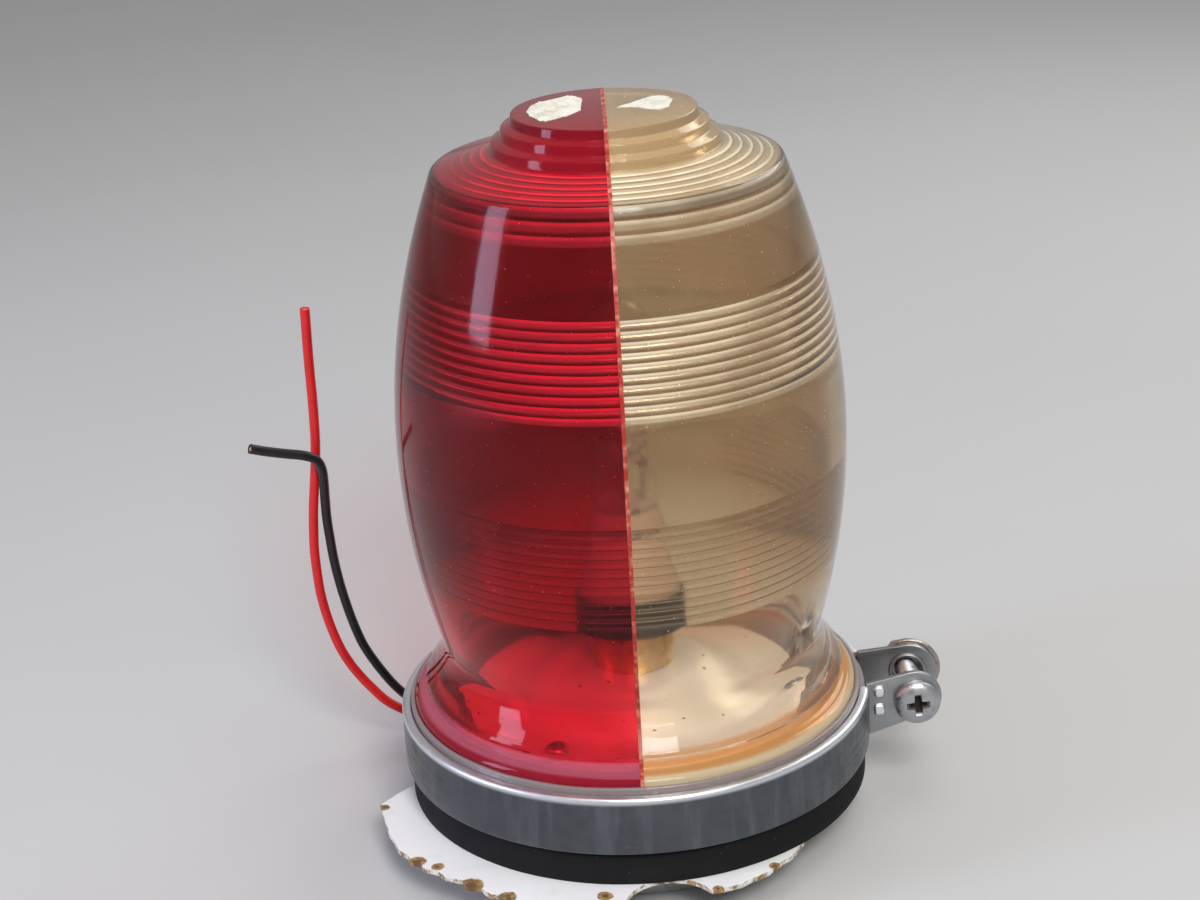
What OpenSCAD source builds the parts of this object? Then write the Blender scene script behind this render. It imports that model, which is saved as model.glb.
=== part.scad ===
// Aircraft strobe light: a split red and clear lens clamped to a round base, on a broken piece of skin.
// Millimetres, +Z up, origin on the lens axis at the level that the base stands on.
// The seam of the lens lies in the plane x = 0, red on the -X side, and the clamp screw is on the +X side.

/* [Base and skin] */
// Depth of the base below the aircraft skin
base_drop = 8; // [7:0.5:20]
// Radius of the part of the base that passes through the skin
spigot_r = 40.5; // [38:0.5:42]
// Wall of the base below its rim
base_wall = 3; // [2:0.5:4]
// Thickness of the skin
skin_t = 1; // [0.6:0.1:2]
// Height of the rubber gasket between skin and base
gasket_h = 7.2; // [5:0.1:12]
// Thickness of the round bottom cover
cover_t = 1.6; // [1:0.1:2.4]

/* [Clamp] */
// Outer diameter of the clamp band
clamp_d = 104; // [98:1:130]
// Height of the clamp band
clamp_h = 13; // [11:0.5:18]
// Sheet thickness of the clamp band
clamp_t = 0.9; // [0.6:0.1:1.2]
// How far the upper lip of the band reaches inwards, from its outer face
lip_w = 2; // [1.6:0.1:2.6]
// Distance from the lens axis to the clamp screw, less the radius of the band
screw_reach = 9.9; // [9:0.1:14]
// Thread diameter of the clamp screw
screw_d = 4.8; // [4:0.1:5]
// Distance between the two lugs, measured along the screw
lug_gap = 13.3; // [12:0.1:18]
// How far the tightened screw has bent the rear lug towards the front one, in degrees
lug_tilt = 8; // [0:1:10]
// Radius of the round end of each lug
lug_r = 6.1; // [5.8:0.1:7]
// Thickness of each lug
lug_t = 1.2; // [0.8:0.1:1.6]
// Outer radius of the washer behind the rear lug
washer_r = 7; // [6.2:0.1:8]
// Width of the nut across its flats
nut_af = 9.5; // [8:0.1:11]

/* [Lens] */
// Height of the lens over its foot
lens_h = 136; // [110:1:170]
// Widest outer diameter of the barrel
lens_d = 96; // [80:1:116]
// Outer diameter where the barrel meets the sloping shoulder
shoulder_d = 72.6; // [62:0.2:78]
// How far the neck lies inside the widest place of the barrel
neck_inset = 6.65; // [5.6:0.05:8.8]
// Wall of the lens
lens_wall = 3.2; // [2.6:0.1:4]
// Diameter of the flat disc at the top
top_disc_d = 38.2; // [30:0.2:42]
// Depth of the prism ribs inside the lens
rib_depth = 0.9; // [0.5:0.1:1.2]
// Thickness of the cement between the two halves
cement_t = 0.8; // [0.4:0.1:1.2]

/* [Flash tube and reflector] */
// Height of the flat middle of the reflector above its rim
reflector_rise = 9.5; // [6:0.5:12]
// Diameter of the gold-coloured socket shell
shell_d = 18.2; // [16:0.2:20]
// Outer diameter of the glass envelope
envelope_d = 14.4; // [13:0.2:18]
// Height of the glass envelope above its base
envelope_h = 46.5; // [40:0.5:60]
// Turns of the flash helix
helix_turns = 4; // [3:1:6]

/* [Leads] */
// Diameter of each lead over its insulation
lead_d = 2.2; // [1.6:0.1:2.4]

/* [Hidden] */
$fn = 72;

// Clearances
slip = 0.05;       // radial play of a shaft or a spigot in its hole
seat = 0.1;        // play between stacked sheets that aren't pressed together
big = 400;         // longer than the whole light

// Heights, from the standing surface up
skin_z = base_drop;
gasket_z = skin_z + skin_t;
flange_z = gasket_z + gasket_h;
band_z = flange_z + 0.3;
band_top = band_z + clamp_h;
rim_z = band_z + clamp_t + seat;
seal_t = 0.7;
rim_top = rim_z + 5.8;
lens_z = rim_top + seal_t;
top_z = lens_z + lens_h;

// Radii of what the band holds
clamp_r = clamp_d / 2;
band_in_r = clamp_r - clamp_t;
seal_r = band_in_r - slip;
seal_wall = 0.45;
foot_r = seal_r - seal_wall - slip;
rim_r = band_in_r - 0.5;
lip_in_r = clamp_r - lip_w;
gasket_r = clamp_r - 1.5;

// Lens profile, as heights over the foot
lens_r = lens_d / 2;
foot_h = band_top - clamp_t - slip - 0.5 - lens_z;
bead_r = lip_in_r - 1.15;
bead_top = foot_h + 4.6;
bead_w = 2.3;
groove_r = bead_r - bead_w - 0.9;
ridge_h = bead_top + 2.9;
ridge_r = groove_r + 0.4;
flare_h = ridge_h + 3.2;
flare_r = ridge_r - 2.2;
neck_h = flare_h + 5.9;
neck_r = lens_r - neck_inset;
step_h = 2.7;
riser_h = 1.9;
riser_lean = 0.3;
step_count = 3;
step_w = 2.2;
shoulder_h = lens_h - 10.85;
slope_top_h = lens_h - (step_count - 1) * step_h - riser_h;
slope_top_r = top_disc_d / 2 + (step_count - 1) * step_w + riser_lean;
shoulder_r = shoulder_d / 2;

// The side of the barrel is one parabola from the neck over the widest place to the shoulder
bulge_low = lens_r - neck_r;
bulge_high = lens_r - shoulder_r;
barrel_mid = neck_h + (shoulder_h - neck_h) * sqrt(bulge_low) / (sqrt(bulge_low) + sqrt(bulge_high));
function barrel_r(h) = lens_r - bulge_low * pow((h - barrel_mid) / (barrel_mid - neck_h), 2);
barrel_n = 28;
barrel_points = [for (i = [0 : barrel_n])
    let (h = neck_h + (shoulder_h - neck_h) * i / barrel_n) [barrel_r(h), h]];

// The flare under the neck steepens as it rises
flare_n = 6;
flare_points = [for (i = [0 : flare_n - 1])
    let (t = i / flare_n)
    [neck_r + (flare_r - neck_r) * pow(1 - t, 1.5), flare_h + (neck_h - flare_h) * t]];

// The bead has a rounded upper edge
bead_points = [for (a = [0 : 22.5 : 90]) [bead_r - bead_w * (1 - cos(a)), bead_top - 2 * (1 - sin(a))]];

// Each step of the crown is a short riser under a tread that slopes outwards
step_points = [for (i = [step_count - 1 : -1 : 0])
    let (r = top_disc_d / 2 + i * step_w, h = lens_h - i * step_h)
    each [[r + riser_lean, h - riser_h], [r, h]]];

outer_points = concat(
    [[foot_r, 0], [foot_r, foot_h], [bead_r, foot_h]], bead_points,
    [[groove_r, bead_top + 0.4], [groove_r, ridge_h - 0.9], [ridge_r, ridge_h], [ridge_r - 0.3, ridge_h + 0.6]],
    flare_points, barrel_points, step_points, [[0, lens_h]]);

// Prism ribs: each is a ramp that grows inwards and a level step that ends it
rib_pitch = 2.05;
upper_rib_h = shoulder_h - 20.55;
upper_ribs = 10;
lower_rib_h = neck_h + 18.85;
lower_ribs = 11;
function inner_r(h) = barrel_r(h) - lens_wall;
upper_rib_points = [for (i = [0 : upper_ribs - 1])
    let (h = upper_rib_h - i * rib_pitch)
    each [[inner_r(h), h], [inner_r(h - rib_pitch) - rib_depth, h - rib_pitch + 0.02]]];
lower_rib_points = [for (i = [lower_ribs : -1 : 1])
    let (h = lower_rib_h + i * rib_pitch)
    each [[inner_r(h) - rib_depth, h - 0.02], [inner_r(h - rib_pitch), h - rib_pitch]]];
wall_top_h = shoulder_h - 2.6;
wall_top_points = [for (i = [0 : 4]) let (h = wall_top_h - i * 4) [inner_r(h), h]];
mid_low = lower_rib_h + lower_ribs * rib_pitch;
mid_high = upper_rib_h - upper_ribs * rib_pitch;
mid_points = [for (i = [0 : 6]) let (h = mid_high + (mid_low - mid_high) * i / 6) [inner_r(h), h]];
wall_low_points = [for (i = [0 : 4]) let (h = lower_rib_h - (lower_rib_h - neck_h) * i / 4) [inner_r(h), h]];
ceiling_h = lens_h - 3.6;
foot_in_r = groove_r - lens_wall;

// Prism rings under the slope: each is a ramp that falls outwards and a level step back up
ceiling_rings = 4;
ring_start = [slope_top_r - 2.4, slope_top_h - 2.7];
ring_step = ([inner_r(wall_top_h), wall_top_h] - ring_start) / ceiling_rings;
ceiling_ring_points = [for (i = [0 : ceiling_rings - 1])
    let (p = ring_start + i * ring_step)
    each [p, p + ring_step + [-0.02, -rib_depth]]];

inner_points = concat(
    [[0, ceiling_h], [top_disc_d / 2 - 2, ceiling_h]], ceiling_ring_points,
    wall_top_points, upper_rib_points, mid_points, lower_rib_points, wall_low_points,
    [[flare_r - lens_wall, flare_h], [foot_in_r, ridge_h - 2], [foot_in_r, 0]]);

module lens_solid() translate([0, 0, lens_z]) rotate_extrude() polygon(concat(outer_points, inner_points));

module half_space(side) translate([side * (cement_t / 2 + big / 2), 0, top_z / 2]) cube([big, big, big], center = true);

module lens_red_half() color("#8c0f1c") intersection() { lens_solid(); half_space(-1); }

module lens_clear_half() color("#d9b483") intersection() { lens_solid(); half_space(1); }

module lens_seam_cement() color("#e2512c")
    intersection() {
        lens_solid();
        cube([cement_t, big, big], center = true);
    }

// Rubber channel round the foot of the lens, with an edge that stands up inside the lip of the band
module lens_edge_seal()
    color("#b9a7a8") translate([0, 0, rim_top]) rotate_extrude() {
        in_r = foot_in_r + 0.6;
        leg_top = band_top - clamp_t - slip - rim_top;
        edge_top = leg_top + 2.3;
        difference() {
            union() {
                translate([in_r, 0]) square([seal_r - in_r, leg_top]);
                translate([bead_r + slip, 0]) square([lip_in_r - 0.1 - bead_r - slip, edge_top]);
            }
            translate([0, seal_t]) square([foot_r + slip, foot_h]);
            translate([0, seal_t]) square([bead_r + slip, edge_top]);
        }
    }

// Clamp. The screw lies along Y; the front lug is square to it and the rear lug leans towards the front one.
screw_r = screw_d / 2;
screw_x = clamp_r + screw_reach;
screw_z = band_z + clamp_h * 0.69;
front_lug_y = -7;                               // rear face of the front lug
rear_lug_y = front_lug_y + lug_gap;             // front face of the rear lug, at the screw
lug_root_x = sqrt(pow(band_in_r + 0.1, 2) - pow(front_lug_y, 2));
rear_root_y = rear_lug_y + (screw_x - lug_root_x) * tan(lug_tilt) + lug_t / cos(lug_tilt);
lug_hole_r = screw_r + 1;

// Moves what stands on the rear lug into its leaning frame, with the screw through x = 0, z = 0 and y out of its face
module on_rear_lug() translate([screw_x, rear_lug_y, screw_z]) rotate(-lug_tilt) children();

module band_section()
    difference() {
        translate([clamp_r - lip_w - 0.7, 0]) square([lip_w + 0.7, clamp_h]);
        translate([0, clamp_t]) square([band_in_r, clamp_h - 2 * clamp_t]);
        translate([0, clamp_t]) square([lip_in_r, clamp_h]);
        // rounded upper outer edge
        translate([clamp_r - 1.1, clamp_h - 1.1]) difference() {
            square(2);
            circle(1.1);
        }
    }

module clamp_band()
    color("#85888f") difference() {
        translate([0, 0, band_z]) rotate_extrude() band_section();
        translate([clamp_r - 10, front_lug_y - lug_t, band_z - 1])
            cube([20, rear_root_y - front_lug_y + lug_t, clamp_h + 2]);
    }

// Sheet with a round end, lug_t thick from y = 0 back, pierced by the screw at x = 0, z = 0.
// The round end is a little off the screw, by the amounts given.
module lug_plate(root, off_x, off_z, hole_r)
    rotate([90, 0, 0]) translate([0, 0, -lug_t]) linear_extrude(lug_t) difference() {
        union() {
            translate([off_x, off_z]) circle(lug_r);
            polygon([[root, band_z + 0.8 - screw_z], [off_x - 2, off_z - lug_r + 0.34], [off_x, off_z],
                     [off_x - 2, off_z + lug_r - 0.34], [root, band_top + 0.4 - screw_z]]);
        }
        circle(hole_r);
    }

module clamp_front_lug()
    color("#9a9da3") translate([screw_x, front_lug_y - lug_t, screw_z])
        lug_plate(lug_root_x - screw_x, -0.6, 0.7, screw_r + 0.1);

rim_w = 0.9;
rim_h = 0.6;
module clamp_rear_lug()
    color("#8d9096") on_rear_lug() {
        lug_plate((lug_root_x - screw_x) / cos(lug_tilt), 0.4, 0.2, lug_hole_r);
        // edge of the hole, drawn up towards the front
        rotate([-90, 0, 0]) translate([0, 0, -rim_h]) difference() {
            cylinder(r = lug_hole_r + rim_w, h = rim_h + 0.1);
            translate([0, 0, -1]) cylinder(r = lug_hole_r, h = rim_h + 2);
        }
    }

// Short welds that join each lug to the outside of the band
weld_l = 2.2;
weld_w = 3.4;
weld_t = 1.1;
module lug_welds()
    color("#cfd2d6") for (z = [band_z + clamp_h * 0.56, band_z + clamp_h * 0.9]) difference() {
        union() {
            translate([lug_root_x, front_lug_y - lug_t - weld_t, z - weld_l / 2]) cube([weld_w, weld_t, weld_l]);
            on_rear_lug() translate([(lug_root_x - screw_x) / cos(lug_tilt), lug_t, z - weld_l / 2 - screw_z])
                cube([weld_w, weld_t, weld_l]);
        }
        cylinder(r = clamp_r, h = big, center = true);
    }

// Behind the rear lug: the washer, which leans with the lug, then the nut, square on the screw
washer_t = 1.1;
washer_off = 0.35;
washer_hole_r = screw_r + 0.75;
nut_h = 3.2;
nut_corner_r = nut_af / 2 / cos(30);
nut_y = rear_lug_y + (lug_t + slip + washer_t) * cos(lug_tilt) + nut_corner_r * sin(lug_tilt) + slip;
thread_play = slip;
screw_tip_y = nut_y + nut_h + 1.6;

module along_y(y) translate([screw_x, y, screw_z]) rotate([-90, 0, 0]) children();

module clamp_washer()
    color("#8a8c90") on_rear_lug() translate([washer_off, lug_t + slip, 0]) rotate([-90, 0, 0]) difference() {
        cylinder(r = washer_r, h = washer_t);
        translate([0, 0, -1]) cylinder(r = washer_hole_r, h = washer_t + 2);
    }

module clamp_nut()
    color("#7d7f84") along_y(nut_y) difference() {
        intersection() {
            cylinder(r = nut_corner_r, h = nut_h, $fn = 6);
            // corners turned off at both ends
            rotate_extrude() polygon([[0, 0], [nut_af / 2, 0], [nut_corner_r + 0.1, 0.5],
                                      [nut_corner_r + 0.1, nut_h - 0.5], [nut_af / 2, nut_h], [0, nut_h]]);
        }
        translate([0, 0, -1]) cylinder(r = screw_r + thread_play, h = nut_h + 2);
    }

head_r = 5;
head_h = 2.9;
head_wall = 1.3;
recess_w = 1.3;
recess_l = 5.2;
recess_depth = 1.9;

module clamp_screw()
    color("#a3a4a8") along_y(front_lug_y - lug_t - slip) mirror([0, 0, 1]) difference() {
        union() {
            rotate_extrude() polygon(concat(
                [[0, 0], [head_r, 0], [head_r, head_wall]],
                [for (a = [15 : 15 : 75]) [head_r * cos(a), head_wall + (head_h - head_wall) * sin(a)]],
                [[0, head_h]]));
            translate([0, 0, front_lug_y - lug_t - slip - screw_tip_y])
                cylinder(r = screw_r, h = screw_tip_y - front_lug_y + lug_t + 2 * slip);
        }
        for (a = [0, 90]) rotate(a + 4) translate([-recess_l / 2, -recess_w / 2, head_h - recess_depth])
            cube([recess_l, recess_w, recess_depth + 1]);
    }

// Base
cavity_r = spigot_r - base_wall;
nose_r = spigot_r - 0.5;         // the lowest stretch of the spigot is a little smaller, to lead it into a hole
nose_h = 3;
boss_r = 3;
boss_ring_r = cavity_r - 2.4;
boss_angles = [0, 120, 240];
cover_z = 0.8;
cover_seal_t = 0.4;
ledge_z = cover_z + cover_t + cover_seal_t;
ledge_t = 1.5;
ledge_w = 2;
reflector_z = rim_top + 3.2;
board_z = ledge_z + 10.7;
board_t = 1.6;
board_boss_angles = [60, 180, 300];
board_r = boss_ring_r - boss_r - 0.6;
board_boss_r = board_r - 3;
pilot_r = 1.25;
mount_ring_r = (spigot_r + gasket_r) / 2 - 0.2;
mount_angles = [20, 110, 200, 290];
mount_r = 2.1;
mount_hole_r = 2.25;
mount_head_r = 3.6;
mount_head_h = 2.2;
mount_sink_r = mount_head_r + 0.15;
mount_sink_h = mount_head_h + 0.2;
lead_out = [-0.8, 0.6, 0];       // the way the leads leave the base, a 3-4-5 slope
lead_angle = atan2(lead_out.y, lead_out.x);
lead_z = 5.3;
lead_pitch = 3.5;
grommet_w = lead_pitch + lead_d + 1;
grommet_h = lead_d + 1.6;

module ring_of(angles, r) for (a = angles) rotate(a) translate([r, 0, 0]) children();

module stadium(w, h) {
    for (s = [-1, 1]) translate([s * (w - h) / 2, 0]) circle(h / 2);
    square([w - h, h], center = true);
}

// A flat-sided prism that lies along the leads' way out; local x runs across, local y up
module along_leads(from_r, to_r)
    rotate(lead_angle) translate([from_r, 0, lead_z]) rotate([90, 0, 90])
        linear_extrude(to_r - from_r) children();

module base_housing()
    color("#6f7276") difference() {
        union() {
            rotate_extrude() polygon([
                [cavity_r, 0], [nose_r, 0], [nose_r, nose_h], [spigot_r, nose_h], [spigot_r, flange_z],
                [rim_r - 1.7, flange_z], [rim_r - 1.7, rim_z], [rim_r, rim_z], [rim_r, rim_top], [cavity_r, rim_top]]);
            translate([0, 0, ledge_z]) difference() {
                cylinder(r = cavity_r + 0.5, h = ledge_t);
                translate([0, 0, -1]) cylinder(r = cavity_r - ledge_w, h = ledge_t + 2);
            }
            ring_of(boss_angles, boss_ring_r) translate([0, 0, ledge_z]) cylinder(r = boss_r, h = reflector_z - ledge_z);
            ring_of(board_boss_angles, board_boss_r) translate([0, 0, ledge_z]) linear_extrude(board_z - ledge_z) {
                circle(boss_r);
                translate([0, -1.5]) square([cavity_r + 0.5 - board_boss_r, 3]);
            }
        }
        ring_of(boss_angles, boss_ring_r) {
            translate([0, 0, ledge_z - 1]) cylinder(r = pilot_r, h = 9);
            translate([0, 0, reflector_z - 8]) cylinder(r = pilot_r, h = 9);
        }
        ring_of(board_boss_angles, board_boss_r) translate([0, 0, board_z - 7]) cylinder(r = pilot_r, h = 8);
        ring_of(mount_angles, mount_ring_r) {
            translate([0, 0, flange_z - 1]) cylinder(r = mount_hole_r, h = rim_top - flange_z + 2);
            translate([0, 0, rim_top - mount_sink_h]) rotate_extrude() polygon([
                [0, 0], [mount_hole_r, 0], [mount_sink_r, mount_sink_h], [mount_sink_r, mount_sink_h + 1],
                [0, mount_sink_h + 1]]);
        }
        along_leads(cavity_r - 4, spigot_r + 1) stadium(grommet_w, grommet_h);
    }

module base_gasket()
    color("#17181a") translate([0, 0, gasket_z]) difference() {
        rotate_extrude() polygon([
            [spigot_r + 0.4, 0], [gasket_r + 0.4, 0], [gasket_r + 0.4, 1.2], [gasket_r - 0.6, gasket_h - 1],
            [gasket_r - 1.6, gasket_h], [spigot_r + 0.4, gasket_h]]);
        ring_of(mount_angles, mount_ring_r) translate([0, 0, -1]) cylinder(r = mount_hole_r, h = gasket_h + 2);
    }

// Outline of the broken skin, seen from above. The front left and front right pieces stand out from
// under the gasket, with a broken drill hole between them; the rest is broken off close to the gasket.
skin_left = [[-50, -2.5], [-58, -12.2], [-56.6, -18], [-55.5, -22.8], [-54, -27.5], [-52.8, -31.4], [-50.8, -33.6],
    [-50, -35.7], [-47.8, -37.4], [-46.4, -40], [-43.6, -41.2], [-42.2, -43.6], [-38.6, -45.2], [-37.6, -48],
    [-34.6, -48.8], [-32.4, -51.4], [-29.4, -51.8], [-26, -54.8], [-22.4, -54.9], [-19, -57.4], [-14, -57],
    [-10.5, -58.6], [-6.4, -57.6]];
notch_centre = [4.5, -59];
notch_r = 9.5;
skin_right = [[13.4, -54.6], [18.8, -53], [22, -50.6], [25.4, -48.4], [28.2, -45], [30.4, -43.4], [33.6, -37.6]];
skin_rear_r = gasket_r - 1.8;
skin_rear = [for (a = [-44 : 8 : 180])
    let (flap = a > 30 && a < 110 ? 3.4 * sin((a - 30) / 80 * 180) : 0, rag = 0.5 * sin(a * 7.3))
    (skin_rear_r + flap + rag) * [cos(a), sin(a)]];

module skin_plate()
    color("#efeee9") translate([0, 0, skin_z]) difference() {
        linear_extrude(skin_t) difference() {
            polygon(concat(skin_left, skin_right, skin_rear));
            translate(notch_centre) circle(notch_r);
            circle(spigot_r + 0.7);
        }
        ring_of(mount_angles, mount_ring_r) translate([0, 0, -1]) cylinder(r = mount_hole_r, h = skin_t + 2);
    }

anchor_h = 3.4;
module mounting_screws()
    color("#9fa1a5") ring_of(mount_angles, mount_ring_r) {
        translate([0, 0, skin_z - anchor_h - 0.4]) cylinder(r = mount_r, h = rim_top - skin_z + anchor_h + 0.2);
        translate([0, 0, rim_top - mount_head_h - 0.05]) cylinder(r1 = mount_r, r2 = mount_head_r, h = mount_head_h);
    }

module anchor_nuts()
    color("#8f9195") ring_of(mount_angles, mount_ring_r) translate([0, 0, skin_z - anchor_h]) difference() {
        union() {
            cylinder(r = 3.6, h = anchor_h, $fn = 6);
            translate([0, 0, anchor_h - 0.8]) cylinder(r = 4.2, h = 0.8);
        }
        translate([0, 0, -1]) cylinder(r = mount_r + slip, h = anchor_h + 2);
    }

module cover_disc(z, t, hole_r)
    translate([0, 0, z]) difference() {
        cylinder(r = cavity_r - 0.3, h = t);
        ring_of(boss_angles, boss_ring_r) translate([0, 0, -1]) cylinder(r = hole_r, h = t + 2);
    }

module bottom_cover() color("#7a7d81") cover_disc(cover_z, cover_t, 1.5);

module cover_gasket()
    color("#1c1c1e") difference() {
        cover_disc(cover_z + cover_t, cover_seal_t, 1.5);
        translate([0, 0, cover_z]) cylinder(r = cavity_r - 2 * boss_r - 1, h = 5);
    }

// Small pan-head screw, head on top at z = 0, shank down to -shank
module pan_screw(head, head_t, shank_r, shank)
    difference() {
        union() {
            cylinder(r = head, h = head_t * 0.6);
            translate([0, 0, head_t * 0.6]) cylinder(r1 = head, r2 = head * 0.7, h = head_t * 0.4);
            translate([0, 0, -shank]) cylinder(r = shank_r, h = shank + 0.1);
        }
        for (a = [0, 90]) rotate(a) translate([-head * 0.6, -0.3, head_t * 0.5]) cube([head * 1.2, 0.6, head_t]);
    }

cover_head_t = 0.75;
module cover_screws()
    color("#a6a8ab") ring_of(boss_angles, boss_ring_r) translate([0, 0, cover_z])
        mirror([0, 0, 1]) pan_screw(2.4, cover_head_t, pilot_r - slip, cover_t + 6);

// Reflector: a dished sheet with a flat middle, an S-shaped slope and a flat rim
sheet_t = 1;
reflector_rim_r = cavity_r + 2.6;
slope_out_r = boss_ring_r - 2.6;
slope_in_r = shell_d / 2 + 3;
slope_n = 14;
function dish_z(r) = reflector_rise * (0.5 + 0.5 * cos(180 * (r - slope_in_r) / (slope_out_r - slope_in_r)));
function dish_line(lift) = [for (i = [0 : slope_n])
    let (r = slope_in_r + (slope_out_r - slope_in_r) * i / slope_n) [r, dish_z(r) + lift]];
function reversed(list) = [for (i = [len(list) - 1 : -1 : 0]) list[i]];
shell_r = shell_d / 2;
hub_top = reflector_z + reflector_rise + sheet_t;

module reflector()
    color("#f3efe4") translate([0, 0, reflector_z]) difference() {
        rotate_extrude() polygon(concat(
            [[shell_r + slip, reflector_rise + sheet_t]], dish_line(sheet_t),
            [[reflector_rim_r, sheet_t], [reflector_rim_r, 0]],
            reversed(dish_line(0)), [[shell_r + slip, reflector_rise]]));
        ring_of(boss_angles, boss_ring_r) translate([0, 0, -1]) cylinder(r = 1.5, h = 4);
    }

module reflector_screws()
    color("#b9bbbe") ring_of(boss_angles, boss_ring_r) translate([0, 0, reflector_z + sheet_t])
        pan_screw(2.5, 1.7, pilot_r - slip, sheet_t + 6);

// Socket: a shell through the reflector, a collar that grips the middle of the sheet, an insert and contacts
collar_z = hub_top + 9.4;
collar_h = 13.6;
collar_r = shell_r + 2.3;
collar_top = collar_z + collar_h;
shell_bottom = hub_top - 5;
shell_wall = 1.2;
shoulder_r_out = shell_r + 1.6;
contact_ring_r = 4.2;
contact_angles = [90, 210, 330];
contact_r = 1.6;
pin_r = 1;

module socket_shell()
    color("#c59a4a") difference() {
        union() {
            translate([0, 0, shell_bottom]) cylinder(r = shell_r, h = collar_top - shell_bottom - 1);
            translate([0, 0, hub_top - sheet_t - 1.5]) cylinder(r = shoulder_r_out, h = 1.5);
        }
        translate([0, 0, shell_bottom - 1]) cylinder(r = shell_r - shell_wall, h = collar_top);
    }

module socket_collar()
    color("#2a2624") difference() {
        translate([0, 0, collar_z]) cylinder(r = collar_r, h = collar_h);
        translate([0, 0, collar_z - 1]) cylinder(r = shell_r + slip, h = collar_h);
        translate([0, 0, collar_z]) cylinder(r = shell_r - shell_wall, h = collar_h + 1);
    }

module socket_insert()
    color("#5b4632") difference() {
        translate([0, 0, shell_bottom]) cylinder(r = shell_r - shell_wall - slip, h = collar_top - shell_bottom - 0.4);
        ring_of(contact_angles, contact_ring_r) translate([0, 0, shell_bottom - 1])
            cylinder(r = contact_r + slip, h = collar_top);
    }

contact_bottom = shell_bottom - 1;
contact_h = collar_top - contact_bottom - 1;
module socket_contacts()
    color("#c8a355") ring_of(contact_angles, contact_ring_r) translate([0, 0, contact_bottom]) difference() {
        cylinder(r = contact_r, h = contact_h);
        translate([0, 0, 6]) cylinder(r = pin_r + slip, h = contact_h);
    }

module socket_wires()
    color("#d8d4c8") ring_of(contact_angles, contact_ring_r) translate([0, 0, board_z + board_t])
        cylinder(r = 0.7, h = contact_bottom - board_z - board_t);

// Flash tube assembly, which pulls straight up out of the socket
tube_z = collar_top;
tube_base_h = 13.3;
tube_base_r = collar_r - 0.8;
tube_neck_r = envelope_d / 2 - 0.3;
envelope_z = tube_z + tube_base_h;
envelope_r = envelope_d / 2;
glass_t = 1;

module tube_base()
    color("#cbb3ad") difference() {
        translate([0, 0, tube_z]) rotate_extrude() polygon([
            [0, 0], [tube_base_r, 0], [tube_base_r, 1.4], [tube_neck_r, tube_base_h], [0, tube_base_h]]);
        ring_of(contact_angles, contact_ring_r) translate([0, 0, tube_z - 1]) cylinder(r = pin_r + slip, h = 5);
    }

module tube_pins()
    color("#d9c486") ring_of(contact_angles, contact_ring_r) translate([0, 0, tube_z - 8])
        cylinder(r = pin_r, h = 12);

module tube_envelope()
    color("#dfe8ea", 0.35) translate([0, 0, envelope_z]) rotate_extrude() intersection() {
        difference() {
            union() {
                square([envelope_r, envelope_h - envelope_r]);
                translate([0, envelope_h - envelope_r]) circle(envelope_r);
            }
            union() {
                translate([0, glass_t]) square([envelope_r - glass_t, envelope_h - envelope_r - glass_t]);
                translate([0, envelope_h - envelope_r]) circle(envelope_r - glass_t);
            }
        }
        square([envelope_r + 1, envelope_h + 1]);
    }

// A tube swept along points: a ring of points round each, square to the path, joined by triangles
function unit(v) = v / norm(v);
function along(path, i) =
    unit(path[min(i + 1, len(path) - 1)] - path[max(i - 1, 0)]);
function side_of(t, last) = unit(last - (last * t) * t);
function sides_along(path, i, last) =
    i == len(path) ? [] :
    let (s = side_of(along(path, i), last)) concat([s], sides_along(path, i + 1, s));
module swept_tube(path, r, sides, start_side) {
    frames = sides_along(path, 0, start_side);
    n = len(path);
    points = [for (i = [0 : n - 1], k = [0 : sides - 1])
        let (t = along(path, i), s = frames[i], a = 360 * k / sides)
        path[i] + r * (cos(a) * s + sin(a) * cross(t, s))];
    walls = [for (i = [0 : n - 2], k = [0 : sides - 1])
        let (a = i * sides + k, b = i * sides + (k + 1) % sides)
        each [[a, a + sides, b], [b, a + sides, b + sides]]];
    cap_start = [for (k = [1 : sides - 2]) [0, k, k + 1]];
    cap_end = [for (k = [1 : sides - 2]) (n - 1) * sides * [1, 1, 1] + [0, k + 1, k]];
    polyhedron(points, concat(walls, cap_start, cap_end));
}

helix_r = envelope_r - glass_t - 2.1;
helix_tube_r = 1.3;
helix_pitch = 6;
helix_z = envelope_z + 9;
helix_rings = 24;
function helix_point(a) = [helix_r * cos(a), helix_r * sin(a), helix_z + helix_pitch * a / 360];
helix_path = [for (i = [0 : helix_rings * helix_turns]) helix_point(360 * i / helix_rings)];
// Points that lie more than half a turn apart along the helix: the least distance, less the tube's own thickness
helix_gap = min([for (i = [0 : len(helix_path) - 1], j = [i + helix_rings / 2 : 1 : len(helix_path) - 1])
    norm(helix_path[i] - helix_path[j])]) - 2 * helix_tube_r;
echo(str("least gap of the flash helix to itself: ", helix_gap, " mm"));

module flash_helix()
    color("#f2f4f6") swept_tube(helix_path, helix_tube_r, 6, [1, 0, 0]);

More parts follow.
